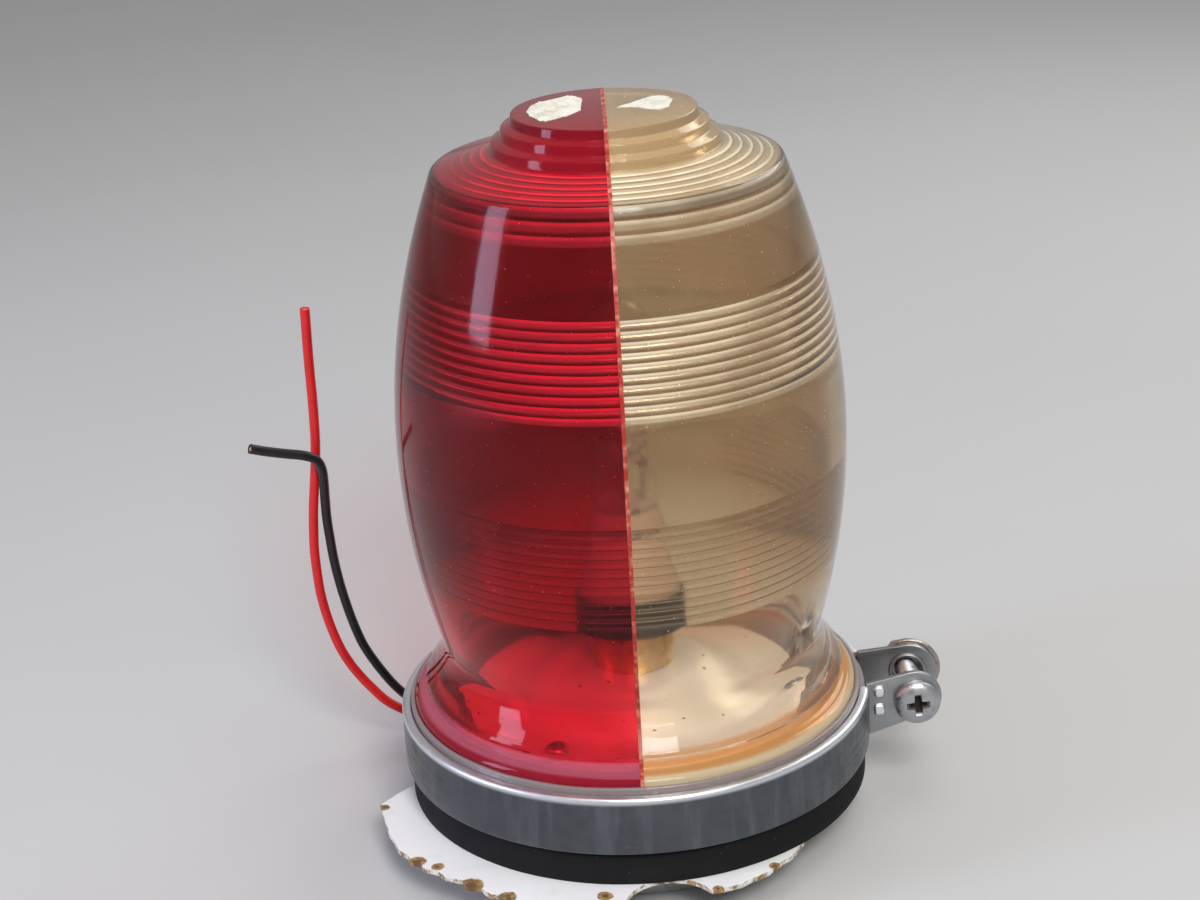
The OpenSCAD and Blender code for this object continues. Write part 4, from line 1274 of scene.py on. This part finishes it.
    def inner(self) -> list[Point2]:
        """Gives the inner profile from the foot up to the axis, with the prism ribs and rings.

        Returns:
            Points of radius and height over the foot, in millimetres.
        """
        foot_in = self.groove_r - self.wall
        low_start = self.neck_h + self.low_ribs_up
        low_end = low_start + self.lower_ribs * self.rib_pitch
        high_end = self.shoulder_h - self.high_ribs_down
        high_start = high_end - self.upper_ribs * self.rib_pitch
        line: list[Corner] = [(foot_in, 0, 0), (foot_in, self.ridge_h - 2, 2.0),
                              (self.flare_r - self.wall, self.flare_h, 1.0)]
        line += [(*self.flare(k / 6, self.wall), 0.0) for k in range(1, 6)]
        line += self.plain(self.neck_h, low_start, 8, 0, 8)
        for i in range(self.lower_ribs):
            h = low_start + i * self.rib_pitch
            tip = h + self.rib_pitch
            line += [(self.bare(h), h, 0.06), (self.bare(tip) - self.rib_depth, tip - 0.02, 0.08)]
        line += self.plain(low_end, high_start, 12, 0, 12)
        for i in range(self.upper_ribs):
            h = high_start + i * self.rib_pitch
            root = h + self.rib_pitch
            line += [(self.bare(h) - self.rib_depth, h + 0.02, 0.08), (self.bare(root), root, 0.06)]
        line += self.plain(high_end, self.shoulder_h - self.eave, 10, 1, 11)
        start, step = self.ring_row()
        for i in reversed(range(self.ceiling_rings)):
            p, q = start + i * step, start + (i + 1) * step
            line += [(q.x - 0.02, q.y - self.rib_depth, 0.08), (p.x, p.y, 0.06)]
        ceiling = self.height - self.top_wall
        return filleted([*line, (self.disc_r - 2, ceiling, 2.0), (0, ceiling, 0)], 2, closed=False)

    def ring_row(self) -> tuple[Vector, Vector]:
        """Gives where the inner rings under the slope start, and the step from each to the next, outwards.

        Returns:
            The start and the step, each as radius and height.
        """
        last = self.steps - 1
        start = Vector((self.disc_r + last * self.step_w + self.riser_lean - 2.4,
                        self.height - last * self.step_h - self.riser_h - 2.7))
        top = self.shoulder_h - self.eave
        return start, (Vector((self.bare(top), top)) - start) / self.ceiling_rings

    def depth(self, r: float, h: float) -> float:
        """Says on which surface a point of the lens lies, and how rough that surface is inside.

        Args:
            r: its radius.
            h: its height over the foot.

        Returns:
            0 on the outer surface; inside, 2.5 on the upper ribs, 1 elsewhere in the upper part, 0.4 in the
            lower part with its ribs, and 0.25 in the foot.
        """
        start, step = self.ring_row()
        slope = start.y + (r - start.x) * step.y / step.x
        below = self.shoulder_h - self.eave - self.rib_depth
        if h > below and r < start.x + self.ceiling_rings * step.x + 0.1:
            if r > start.x - 0.1:
                return float(h < slope + 1.0)
            return float(h < self.height - 3.0 - max(0.0, r - self.disc_r + 3) * 2)
        inner = self.bare(h) if h > self.neck_h else self.flare_r - self.wall
        if r >= inner + 0.5 * self.wall:
            return 0.0
        layers = ((self.shoulder_h - 20, 1.0), (self.shoulder_h - 42, 2.5), (self.neck_h + 45, 1.0),
                  (self.neck_h + 6, 0.4))
        return next((layer for lowest, layer in layers if h > lowest), 0.25)

    def half(self, side: Side, finish: Finish, node: str, slot: str) -> None:
        """Makes one half of the lens as a closed solid, cut off along the seam.

        Args:
            side: which half.
            finish: its plastic.
            node: the CAD node that it stands for.
            slot: the name of a material slot; not used.
        """
        loop = self.outer() + self.inner()[::-1]
        cut = self.cement - 0.01
        loop = [(max(r, cut * 1.001), z + self.foot_z) for r, z in loop]
        shape = turned(loop, self.segments, lambda r: -math.acos(cut / r), lambda r: math.acos(cut / r))
        shape = moved(shape, Matrix.Diagonal((side.value, 1, 1)))
        piece = make(node.replace("lens_", "") + "_shell", shape, finish, Body.LENS, (node,), 28)
        layer = piece.data.attributes.new("inside", "FLOAT", "POINT")
        corners = piece.data.vertices
        layer.data.foreach_set("value", [
            self.depth(math.hypot(v.co.x, v.co.y) / MM, v.co.z / MM - self.foot_z) for v in corners])

    def seam(self) -> None:
        """Makes the sheet of cement, a little proud of the lens and chipped along its edge."""
        def proud(points: Sequence[Point2], out: float) -> list[Point2]:
            """Shifts a profile outwards by an uneven amount.

            Args:
                points: the profile.
                out: how far it moves on average, in millimetres.

            Returns:
                The shifted profile, at its height in the light.
            """
            line = []
            for r, z in points:
                uneven = lump(r * 0.9, z * 0.9, 3.0)
                chip = -0.35 if lump(z * 0.5, r * 0.5, 9.0) > self.chip_above else 0.0
                line.append((max(r + out * (1 + uneven) + out * chip, 0.0), z + self.foot_z))
            return line

        outer = proud(self.outer(), self.cement_out)
        inner = proud(self.inner(), 0.0)
        outer[-1] = (0.0, outer[-1][1] + 0.1)
        loop = [*outer, *[(-y, z) for y, z in outer[-2::-1]], *[(-y, z) for y, z in inner], *inner[-2::-1]]
        count = len(loop)
        points = [(x, y, z) for x in (-self.cement, self.cement) for y, z in loop]
        faces = [ring(0, count), ring(count, count)[::-1]]
        faces += [[i, (i + 1) % count, count + (i + 1) % count, count + i] for i in range(count)]
        make("seam_cement_sheet", (points, faces), SEAM_CEMENT, Body.LENS, ("lens_seam_cement",), 25)

    def edge_rubber(self) -> None:
        """Makes the rubber channel round the foot, with the edge that stands up inside the band's lip."""
        points, faces = turned(filleted(self.rubber, 4), 180)
        points = [(x, y, z + (0.12 * lump(x * 0.12, y * 0.12, 0) if z > 30 else 0)) for x, y, z in points]
        make("edge_rubber_channel", (points, faces), EDGE_RUBBER, Body.LENS, ("lens_edge_seal",), 40)

    def patch(self, name: str, outline: Sequence[Point2]) -> None:
        """Makes one patch of old paint on the top disc.

        Args:
            name: its name.
            outline: its rough outline.
        """
        centre = Vector((sum(p[0] for p in outline), sum(p[1] for p in outline))) / len(outline)
        ragged = []
        for x, y in filleted([(x, y, 2.0) for x, y in outline], 6):
            stretch = 1 + 0.12 * lump(x * 0.9, y * 0.9, 5) + 0.09 * lump(x * 3, y * 3, 1)
            ragged.append(tuple(centre + (Vector((x, y)) - centre) * stretch))
        top = self.foot_z + self.height - self.paint_sunk
        shape = moved(plate([ragged], self.paint_t, 0.07), Matrix.Translation((0, 0, top)))
        make(name, shape, TOP_PAINT, Body.LENS, sharp=60)

    def build(self) -> None:
        """Makes every piece of the lens."""
        self.half(Side.RED, RED_PLASTIC, "lens_red_half", "lens_red")
        self.half(Side.CLEAR, AMBER_PLASTIC, "lens_clear_half", "lens_clear")
        self.seam()
        self.edge_rubber()
        self.patch("paint_patch_red_side", self.red_patch)
        self.patch("paint_patch_clear_side", self.clear_patch)


@dataclass
class Clamp:
    """The band with its two lugs and welds, and the screw, washer and nut that close it.

    The welds' x is from the screw, and their heights are shares of the band's. The plays are how much wider
    than the screw the lugs' holes are, in radius.
    """

    band_r: float = 52.0
    sheet: float = 0.9
    band_z: float = 16.5
    band_h: float = 13.0
    lip_r: float = 50.0
    lower_lip_r: float = 49.3
    screw_x: float = 61.9
    screw_z: float = 25.47
    screw_r: float = 2.4
    thread_pitch: float = 0.79375
    head_r: float = 5.0
    head_h: float = 2.9
    head_wall: float = 1.3
    dome_power: float = 0.9
    recess_wide: float = 0.95
    recess_narrow: float = 0.5
    recess_reach: float = 3.1
    recess_deep: float = 2.0
    thread_depth: float = 0.42
    tip_share: float = 0.82
    weld_x: float = -8.35
    weld_shares: Point2 = (0.56, 0.9)
    front_play: float = 0.1
    rear_play: float = 1.0
    lug_t: float = 1.2
    lug_r: float = 6.1
    root_x: float = 50.72
    front_y: float = -8.2
    rear_y: float = 6.3
    tilt: float = 8.0
    rear_end_y: float = 9.08
    washer_r: float = 7.0
    washer_t: float = 1.1
    tip_y: float = 14.96

    def band(self) -> None:
        """Makes the band, a channel with rolled lips, open between the lugs."""
        top = self.band_z + self.band_h
        inside = self.band_r - self.sheet
        section = filleted([
            (self.lower_lip_r, self.band_z, 0.2), (self.band_r, self.band_z, 0.7), (self.band_r, top, 1.3),
            (self.lip_r, top, 0.42), (self.lip_r, top - self.sheet, 0.42), (inside, top - self.sheet, 0.3),
            (inside, self.band_z + self.sheet, 0.3), (self.lower_lip_r, self.band_z + self.sheet, 0.2)], 6)
        shape = turned(section, 240, lambda r: math.asin(self.rear_end_y / r),
                       lambda r: TURN - math.asin(-self.front_y / r))
        points = []
        for x, y, z in shape[0]:
            wave = 1 + 0.0008 * lump(x * 0.05, y * 0.05, z * 0.12)
            points.append((x * wave, y * wave, z))
        make("band_channel", (points, shape[1]), BAND_STEEL, Body.BASE, ("clamp_band",), 40)

    def lug(self, root: float, off_x: float, off_z: float, hole_r: float) -> Shape:
        """Makes a lug's plate, standing up, with the screw through its origin and its thickness along +Y.

        Args:
            root: x of its root.
            off_x: how far its round end lies off the screw.
            off_z: the same, upwards.
            hole_r: radius of its hole.

        Returns:
            Points and faces.
        """
        top = self.band_z + self.band_h + 0.4 - self.screw_z
        low = self.band_z + 0.8 - self.screw_z
        end = circle(off_x, off_z, self.lug_r, 40, -108, 216)
        corners = [(root, low, 0.3), *[(x, z, 0.0) for x, z in end], (root, top, 0.3)]
        shape = plate([filleted(corners, 4), circle(0, 0, hole_r, 40)[::-1]], self.lug_t, 0.22)
        upright = Matrix.Rotation(math.radians(90), 4, "X")
        return moved(shape, Matrix.Translation((0, self.lug_t, 0)) @ upright)

    def front_frame(self) -> Matrix:
        """Gives the frame of the front lug."""
        return Matrix.Translation((self.screw_x, self.front_y, self.screw_z))

    def rear_frame(self) -> Matrix:
        """Gives the leaning frame of the rear lug."""
        return (Matrix.Translation((self.screw_x, self.rear_y, self.screw_z))
                @ Matrix.Rotation(math.radians(-self.tilt), 4, "Z"))

    def lugs(self) -> None:
        """Makes both lugs, the drawn rim of the rear one's hole, and the welds."""
        root = self.root_x - self.screw_x
        lean = root / math.cos(math.radians(self.tilt))
        front = moved(self.lug(root, -0.6, 0.7, self.screw_r + self.front_play), self.front_frame())
        make("front_lug_plate", front, LUG_STEEL, Body.BASE, ("clamp_front_lug",), 50)
        hole = self.screw_r + self.rear_play
        rim = turned(filleted([(hole, -0.2, 0.1), (hole + 0.9, -0.2, 0.1), (hole + 0.75, 0.6, 0.3),
                               (hole + 0.02, 0.6, 0.3)], 4), 48)
        rear = joined([moved(self.lug(lean, 0.4, 0.2, hole), self.rear_frame()),
                       moved(rim, self.rear_frame() @ Matrix.Rotation(math.radians(90), 4, "X"))])
        make("rear_lug_plate", rear, LUG_STEEL, Body.BASE, ("clamp_rear_lug",), 50)
        self.welds()

    def welds(self) -> None:
        """Makes the four weld beads as low rounded lumps in the corners between lugs and band."""
        beads = []
        for height in (self.band_z + self.band_h * share for share in self.weld_shares):
            for matrix, out, start in ((self.front_frame(), -1.0, 0.0), (self.rear_frame(), 1.0, self.lug_t)):
                place = Matrix.Translation((self.weld_x, start, height - self.screw_z))
                beads.append(moved(self.bead(1.2, 1.3), matrix @ place @ Matrix.Diagonal((1, out, 1, 1))))
        make("weld_beads", joined(beads), WELD_GLINT_STEEL, Body.BASE, ("lug_welds",), 60)

    def bead(self, half: float, tall: float) -> Shape:
        """Makes a rounded lump that stands out along +Y.

        Args:
            half: half its width.
            tall: half its height.

        Returns:
            Points and faces.
        """
        sides = 20
        points: list[Point3] = []
        for scale, out in ((1.0, 0.0), (1.0, 0.45), (0.82, 0.72), (0.5, 0.82)):
            for k in range(sides):
                c, s = math.cos(TURN * k / sides), math.sin(TURN * k / sides)
                points.append((math.copysign(abs(c) ** 0.55, c) * half * scale, out,
                               math.copysign(abs(s) ** 0.55, s) * tall * scale))
        return points, rows(4, sides) + [ring(3 * sides, sides), ring(0, sides)[::-1]]

    def screw(self) -> None:
        """Makes the clamp screw: a threaded shank and a pan head with a worn cross recess."""
        rise = self.head_h - self.head_wall
        dome = [(self.head_r * math.cos(a) ** self.dome_power, self.head_wall + rise * math.sin(a), 0.0)
                for a in (math.radians(v) for v in range(8, 79, 10))]
        profile = filleted([(0, 0, 0), (self.head_r, 0, 0.25), (self.head_r, self.head_wall, 0.5), *dome,
                            (0, self.head_h, 0)], 4)
        head, cutter = (bpy.data.objects.new(name, mesh_of(name, shape, 0.0001 * MM))
                        for name, shape in (("head", turned(profile, 96)), ("recess", self.recess())))
        cut = head.modifiers.new("recess", "BOOLEAN")
        cut.object = cutter
        cut.solver = "EXACT"
        bpy.context.scene.collection.objects.link(head)
        bpy.context.scene.collection.objects.link(cutter)
        mesh = bpy.data.meshes.new_from_object(head.evaluated_get(bpy.context.evaluated_depsgraph_get()))
        carved = ([tuple(v.co / MM) for v in mesh.vertices], [list(p.vertices) for p in mesh.polygons])
        for spare in (head, cutter):
            bpy.data.objects.remove(spare)
        place = (Matrix.Translation((self.screw_x, self.front_y - 0.05, self.screw_z))
                 @ Matrix.Rotation(math.radians(90), 4, "X"))
        shape = moved(joined([carved, self.thread(self.tip_y - self.front_y)]), place)
        piece = make("clamp_screw_body", shape, SCREW_STEEL, Body.SCREW, ("clamp_screw",), 35)
        # Depth in the cross recess, which the finish turns into painted shade.
        layer = piece.data.attributes.new("hollow", "FLOAT", "POINT")
        back = place.inverted()
        layer.data.foreach_set("value", [self.hollow(back @ (v.co / MM)) for v in piece.data.vertices])

    def hollow(self, point: Vector) -> float:
        """Says how deep a point of the screw lies in its recess.

        Args:
            point: the point, in millimetres, with the screw's axis as Z and the head's flat at 0.

        Returns:
            0 on the head's dome, on its edge and on the shank, up to 1 at the bottom of the recess.
        """
        across = math.hypot(point.x, point.y)
        if point.z < 0.2 or across > self.recess_reach + 0.1:
            return 0.0
        lean = math.acos((across / self.head_r) ** (1 / self.dome_power))
        dome = self.head_wall + (self.head_h - self.head_wall) * math.sin(lean)
        return min(max((dome - point.z) / 1.2, 0.0), 1.0)

    def recess(self) -> Shape:
        """Makes the cutter for the cross recess: four tapered wings round a cone, flared by wear.

        Returns:
            Points and faces.
        """
        wide, narrow = self.recess_wide, self.recess_narrow
        top, bottom = self.head_h + 0.4, self.head_h - self.recess_deep
        points: list[Point3] = []
        rings = ((bottom - 0.25, narrow * 0.5, 0.5), (bottom, narrow, 1.0), (top, wide, self.recess_reach))
        for z, w, arm in rings:
            for k in range(4):
                turn = Matrix.Rotation(math.radians(90 * k + 4), 3, "Z")
                wing = ((w, -w), (arm, -w * 0.85), (arm, w * 0.85))
                points += [tuple(turn @ Vector((x, y, z))) for x, y in wing]
        sides = len(points) // 3
        return points, rows(3, sides) + [ring(0, sides)[::-1], ring(2 * sides, sides)]

    def thread(self, length: float) -> Shape:
        """Makes the threaded shank, down from z = 0.

        Args:
            length: its length.

        Returns:
            Points and faces.
        """
        sides = 32
        levels = int(length / (self.thread_pitch / 8))
        points: list[Point3] = []
        for j in range(levels + 1):
            z = -length * j / levels
            lead_in = min(1.0, length + z)
            for k in range(sides):
                phase = (z / self.thread_pitch + k / sides) % 1.0
                depth = self.thread_depth * (1 - abs(2 * phase - 1)) if j > 3 else 0.0
                r = (self.screw_r - depth) * (self.tip_share + (1 - self.tip_share) * lead_in)
                a = TURN * k / sides
                points.append((r * math.cos(a), r * math.sin(a), z))
        return points, rows(levels + 1, sides) + [ring(0, sides), ring(levels * sides, sides)[::-1]]

    def washer(self) -> None:
        """Makes the washer behind the rear lug."""
        hole = circle(0, 0, self.screw_r + 0.75, 40)[::-1]
        shape = plate([circle(0, 0, self.washer_r, 72), hole], self.washer_t, 0.25)
        seat = Matrix.Translation((0.35, self.lug_t + 0.05, 0)) @ Matrix.Rotation(math.radians(-90), 4, "X")
        make("rear_washer", moved(shape, self.rear_frame() @ seat), WASHER_STEEL, Body.BASE,
             ("clamp_washer",), 50)

    def build(self) -> None:
        """Makes every piece of the clamp."""
        self.band()
        self.lugs()
        self.screw()
        self.washer()
        dress(WASHER_STEEL, "clamp_nut")


@dataclass
class Base:
    """The base with its gasket, the broken piece of skin and the fastenings below.

    The skin is torn between two angles, in degrees, and tucked under the gasket's edge elsewhere, but for a
    flap at the back. The notch is the drill hole's centre and radius; a chip has its centre and size.
    """

    gasket_z: float = 9.0
    gasket_h: float = 7.2
    gasket_r: float = 50.5
    bore_r: float = 40.9
    skin_z: float = 8.0
    skin_t: float = 1.0
    skin_bore_r: float = 41.2
    notch: Corner = (4.5, -59.0, 9.5)
    tuck: float = 1.8
    flap: float = 3.4
    torn: Point2 = (180.0, 316.0)
    worn_edge: float = 0.9
    chip_share: float = 0.7
    edge_points: tuple[Point2, ...] = (
        (-50, -2.5), (-58, -12.2), (-56.6, -18), (-55.5, -22.8), (-54, -27.5), (-52.8, -31.4), (-50.8, -33.6),
        (-50, -35.7), (-47.8, -37.4), (-46.4, -40), (-43.6, -41.2), (-42.2, -43.6), (-38.6, -45.2),
        (-37.6, -48), (-34.6, -48.8), (-32.4, -51.4), (-29.4, -51.8), (-26, -54.8), (-22.4, -54.9),
        (-19, -57.4), (-14, -57), (-10.5, -58.6), (-6.4, -57.6), (13.4, -54.6), (18.8, -53), (22, -50.6),
        (25.4, -48.4), (28.2, -45), (30.4, -43.4), (33.6, -37.6))
    chips: tuple[Corner, ...] = (
        (-48.5, -36.6, 2.6), (-44.0, -39.2, 1.9), (-36.6, -47.4, 3.4), (-29.0, -52.6, 2.4),
        (-9.0, -54.6, 2.2), (-56.9, -13.5, 1.6), (-20.5, -56.5, 1.8), (14.2, -54.0, 1.5), (26.5, -46.5, 1.6))

    def gasket(self) -> None:
        """Makes the rubber gasket, with a soft slope and a slight swell."""
        z, top, r = self.gasket_z, self.gasket_z + self.gasket_h, self.gasket_r
        section = filleted([(self.bore_r, z, 0), (r + 0.4, z, 0.3), (r + 0.4, z + 1.3, 0.8),
                            (r - 0.2, z + 4.0, 3.0), (r - 0.6, top - 1, 0.8), (r - 1.6, top, 0.2),
                            (self.bore_r, top, 0)], 5)
        shape = turned(section, 180)
        points = []
        for x, y, h in shape[0]:
            swell = 1 + 0.0018 * lump(x * 0.07, y * 0.07, h * 0.2)
            points.append((x * swell, y * swell, h))
        make("gasket_ring", (points, shape[1]), BLACK_RUBBER, Body.BASE, ("base_gasket",), 40)

    def rim(self, angle: float) -> float:
        """Gives the distance from the axis to the skin's broken edge in a direction.

        Args:
            angle: the direction, in radians.

        Returns:
            The distance in millimetres, without the drill hole.
        """
        degrees = math.degrees(angle) % 360
        hidden = self.gasket_r - self.tuck
        if degrees > self.torn[1] or degrees < self.torn[0]:
            turn = degrees if degrees < 180 else degrees - 360
            flap = self.flap * math.sin(math.radians((turn - 30) / 80 * 180)) if 30 < turn < 110 else 0.0
            return hidden + flap + 0.5 * math.sin(math.radians(turn * 7.3))
        ray = Vector((math.cos(angle), math.sin(angle)))
        best = hidden
        for a, b in zip(self.edge_points, self.edge_points[1:]):
            p, q = Vector(a), Vector(b)
            cross = ray.x * (q - p).y - ray.y * (q - p).x
            if abs(cross) < 1e-9:
                continue
            along = (p.x * (q - p).y - p.y * (q - p).x) / cross
            part = (p.x * ray.y - p.y * ray.x) / cross
            if along > 0 and -1e-6 <= part <= 1 + 1e-6:
                best = max(best, along)
        return best

    def edge(self, angle: float) -> float:
        """Gives the same distance with the broken drill hole and the fine raggedness of the tear.

        Args:
            angle: the direction, in radians.

        Returns:
            The distance in millimetres.
        """
        x, y = math.cos(angle) * 40, math.sin(angle) * 40
        reach = self.rim(angle) + (0.35 * lump(x * 0.7, y * 0.7, 2) + 0.18 * lump(x * 2.3, y * 2.3, 7))
        cx, cy, r = self.notch
        along = math.cos(angle) * cx + math.sin(angle) * cy
        off = abs(math.cos(angle) * cy - math.sin(angle) * cx)
        if off < r and along > 0:
            reach = min(reach, along - math.sqrt(r * r - off * off))
        return reach

    def skin(self) -> None:
        """Makes the broken piece of skin as a fine grid that knows where its paint has gone."""
        turns, strips = 900, 26
        points: list[Point3] = []
        wear: list[float] = []
        for level in (self.skin_z + self.skin_t, self.skin_z):
            for j in range(turns):
                a = TURN * j / turns
                reach = self.edge(a)
                for i in range(strips + 1):
                    share = 1 - (1 - i / strips) ** 2
                    r = self.skin_bore_r + (reach - self.skin_bore_r) * share
                    x, y = r * math.cos(a), r * math.sin(a)
                    near = max(0.0, 1.0 - (reach - r) / self.worn_edge) * 0.5
                    for cx, cy, size in self.chips:
                        off = math.hypot(x - cx, y - cy) / (self.chip_share * size)
                        near = max(near, 1.15 - 0.6 * off)
                    bend = 0.25 * lump(x * 0.05, y * 0.05, 4) * max(0.0, (r - 50) / 8)
                    points.append((x, y, level + bend))
                    wear.append(min(max(near, 0.0), 1.0))
        width = strips + 1
        sheet = turns * width
        faces = []
        for j in range(turns):
            here, there = j * width, (j + 1) % turns * width
            for i in range(strips):
                a, b, c, d = here + i, here + i + 1, there + i + 1, there + i
                faces += [[a, b, c, d], [sheet + d, sheet + c, sheet + b, sheet + a]]
            faces.append([here + strips, sheet + here + strips, sheet + there + strips, there + strips])
            faces.append([there, sheet + there, sheet + here, here])
        mesh = bpy.data.meshes.new("skin_sheet")
        mesh.from_pydata([Vector(p) * MM for p in points], [], faces)
        layer = mesh.attributes.new("wear", "FLOAT", "POINT")
        layer.data.foreach_set("value", wear)
        settle(bpy.data.objects.new("skin_sheet", mesh), SKIN_PAINT, Body.BASE, ("skin_plate",), 40)

    def build(self) -> None:
        """Makes the gasket and the skin, and dresses the rest."""
        self.gasket()
        self.skin()
        dress(CAST_METAL, "base_housing", "bottom_cover")
        dress(BLACK_RUBBER, "cover_gasket", "lead_grommet")
        dress(SCREW_STEEL, "mounting_screws", "anchor_nuts", "cover_screws")


@dataclass
class Lamp:
    """The flash tube with its socket and reflector."""

    reflector_z: float = 26.5
    rise: float = 9.5
    sheet: float = 1.0
    shell_r: float = 9.1
    rim_r: float = 40.1
    slope_in: float = 12.1
    slope_out: float = 32.5

    def reflector(self) -> None:
        """Makes the dished reflector, smooth round its axis."""
        steps = 30
        reach = self.slope_out - self.slope_in

        def dish(r: float) -> float:
            """Gives the height of the dish at a radius."""
            t = min(max((r - self.slope_in) / reach, 0), 1)
            return self.rise * (0.5 + 0.5 * math.cos(math.pi * t))

        upper = self.reflector_z + self.sheet
        radii = [self.shell_r + 0.05] + [self.slope_in + reach * i / steps for i in range(steps + 1)]
        top = [(r, upper + dish(r)) for r in radii] + [(self.rim_r, upper)]
        low = [(r, z - self.sheet) for r, z in top[::-1]]
        shape = turned(top + low, 160)
        make("reflector_dish", shape, REFLECTOR_METAL, Body.BASE, ("reflector",), 35)

    def build(self) -> None:
        """Makes the reflector and dresses the socket and the flash tube."""
        self.reflector()
        dress(SCREW_STEEL, "reflector_screws")
        dress(GOLD_PLATE, "socket_shell")
        dress(COLLAR_PLASTIC, "socket_collar")
        dress(BROWN_LAMINATE, "socket_insert")
        dress(CONTACT_BRASS, "socket_contacts", "tube_pins")
        dress(WIRE_SLEEVE, "socket_wires")
        dress(PINK_CERAMIC, "tube_base")
        dress(TUBE_GLASS, "tube_envelope")
        dress(HELIX_GLASS, "flash_helix")
        dress(WIRE_METAL, "tube_electrodes")


@dataclass
class PowerSupply:
    """The board inside the base and what stands on it."""

    finishes: dict[str, Finish] = field(default_factory=lambda: {
        "circuit_board": GREEN_BOARD, "board_screws": SCREW_STEEL, "storage_capacitor": BLUE_SLEEVE,
        "inverter_core": DARK_CORE, "inverter_winding": COPPER, "trigger_coil": BLUE_SLEEVE,
        "power_transistor": BLACK_CHIP, "diodes": BLACK_CHIP, "resistors": TAN_BODY,
        "timing_capacitors": BROWN_DIP, "lead_terminals": BLUE_BLOCK, "inner_leads": RED_INSULATION})

    def build(self) -> None:
        """Dresses every piece of the supply."""
        for node, finish in self.finishes.items():
            dress(finish, node)


def main() -> None:
    """Builds the whole light in order and reports each piece."""
    logging.basicConfig(level=logging.INFO, format="%(name)s: %(message)s", stream=sys.stdout)
    Camera().place()
    Leads().build()
    Studio().build()
    Lens().build()
    Clamp().build()
    Base().build()
    Lamp().build()
    PowerSupply().build()


if __name__ == "__main__":
    main()
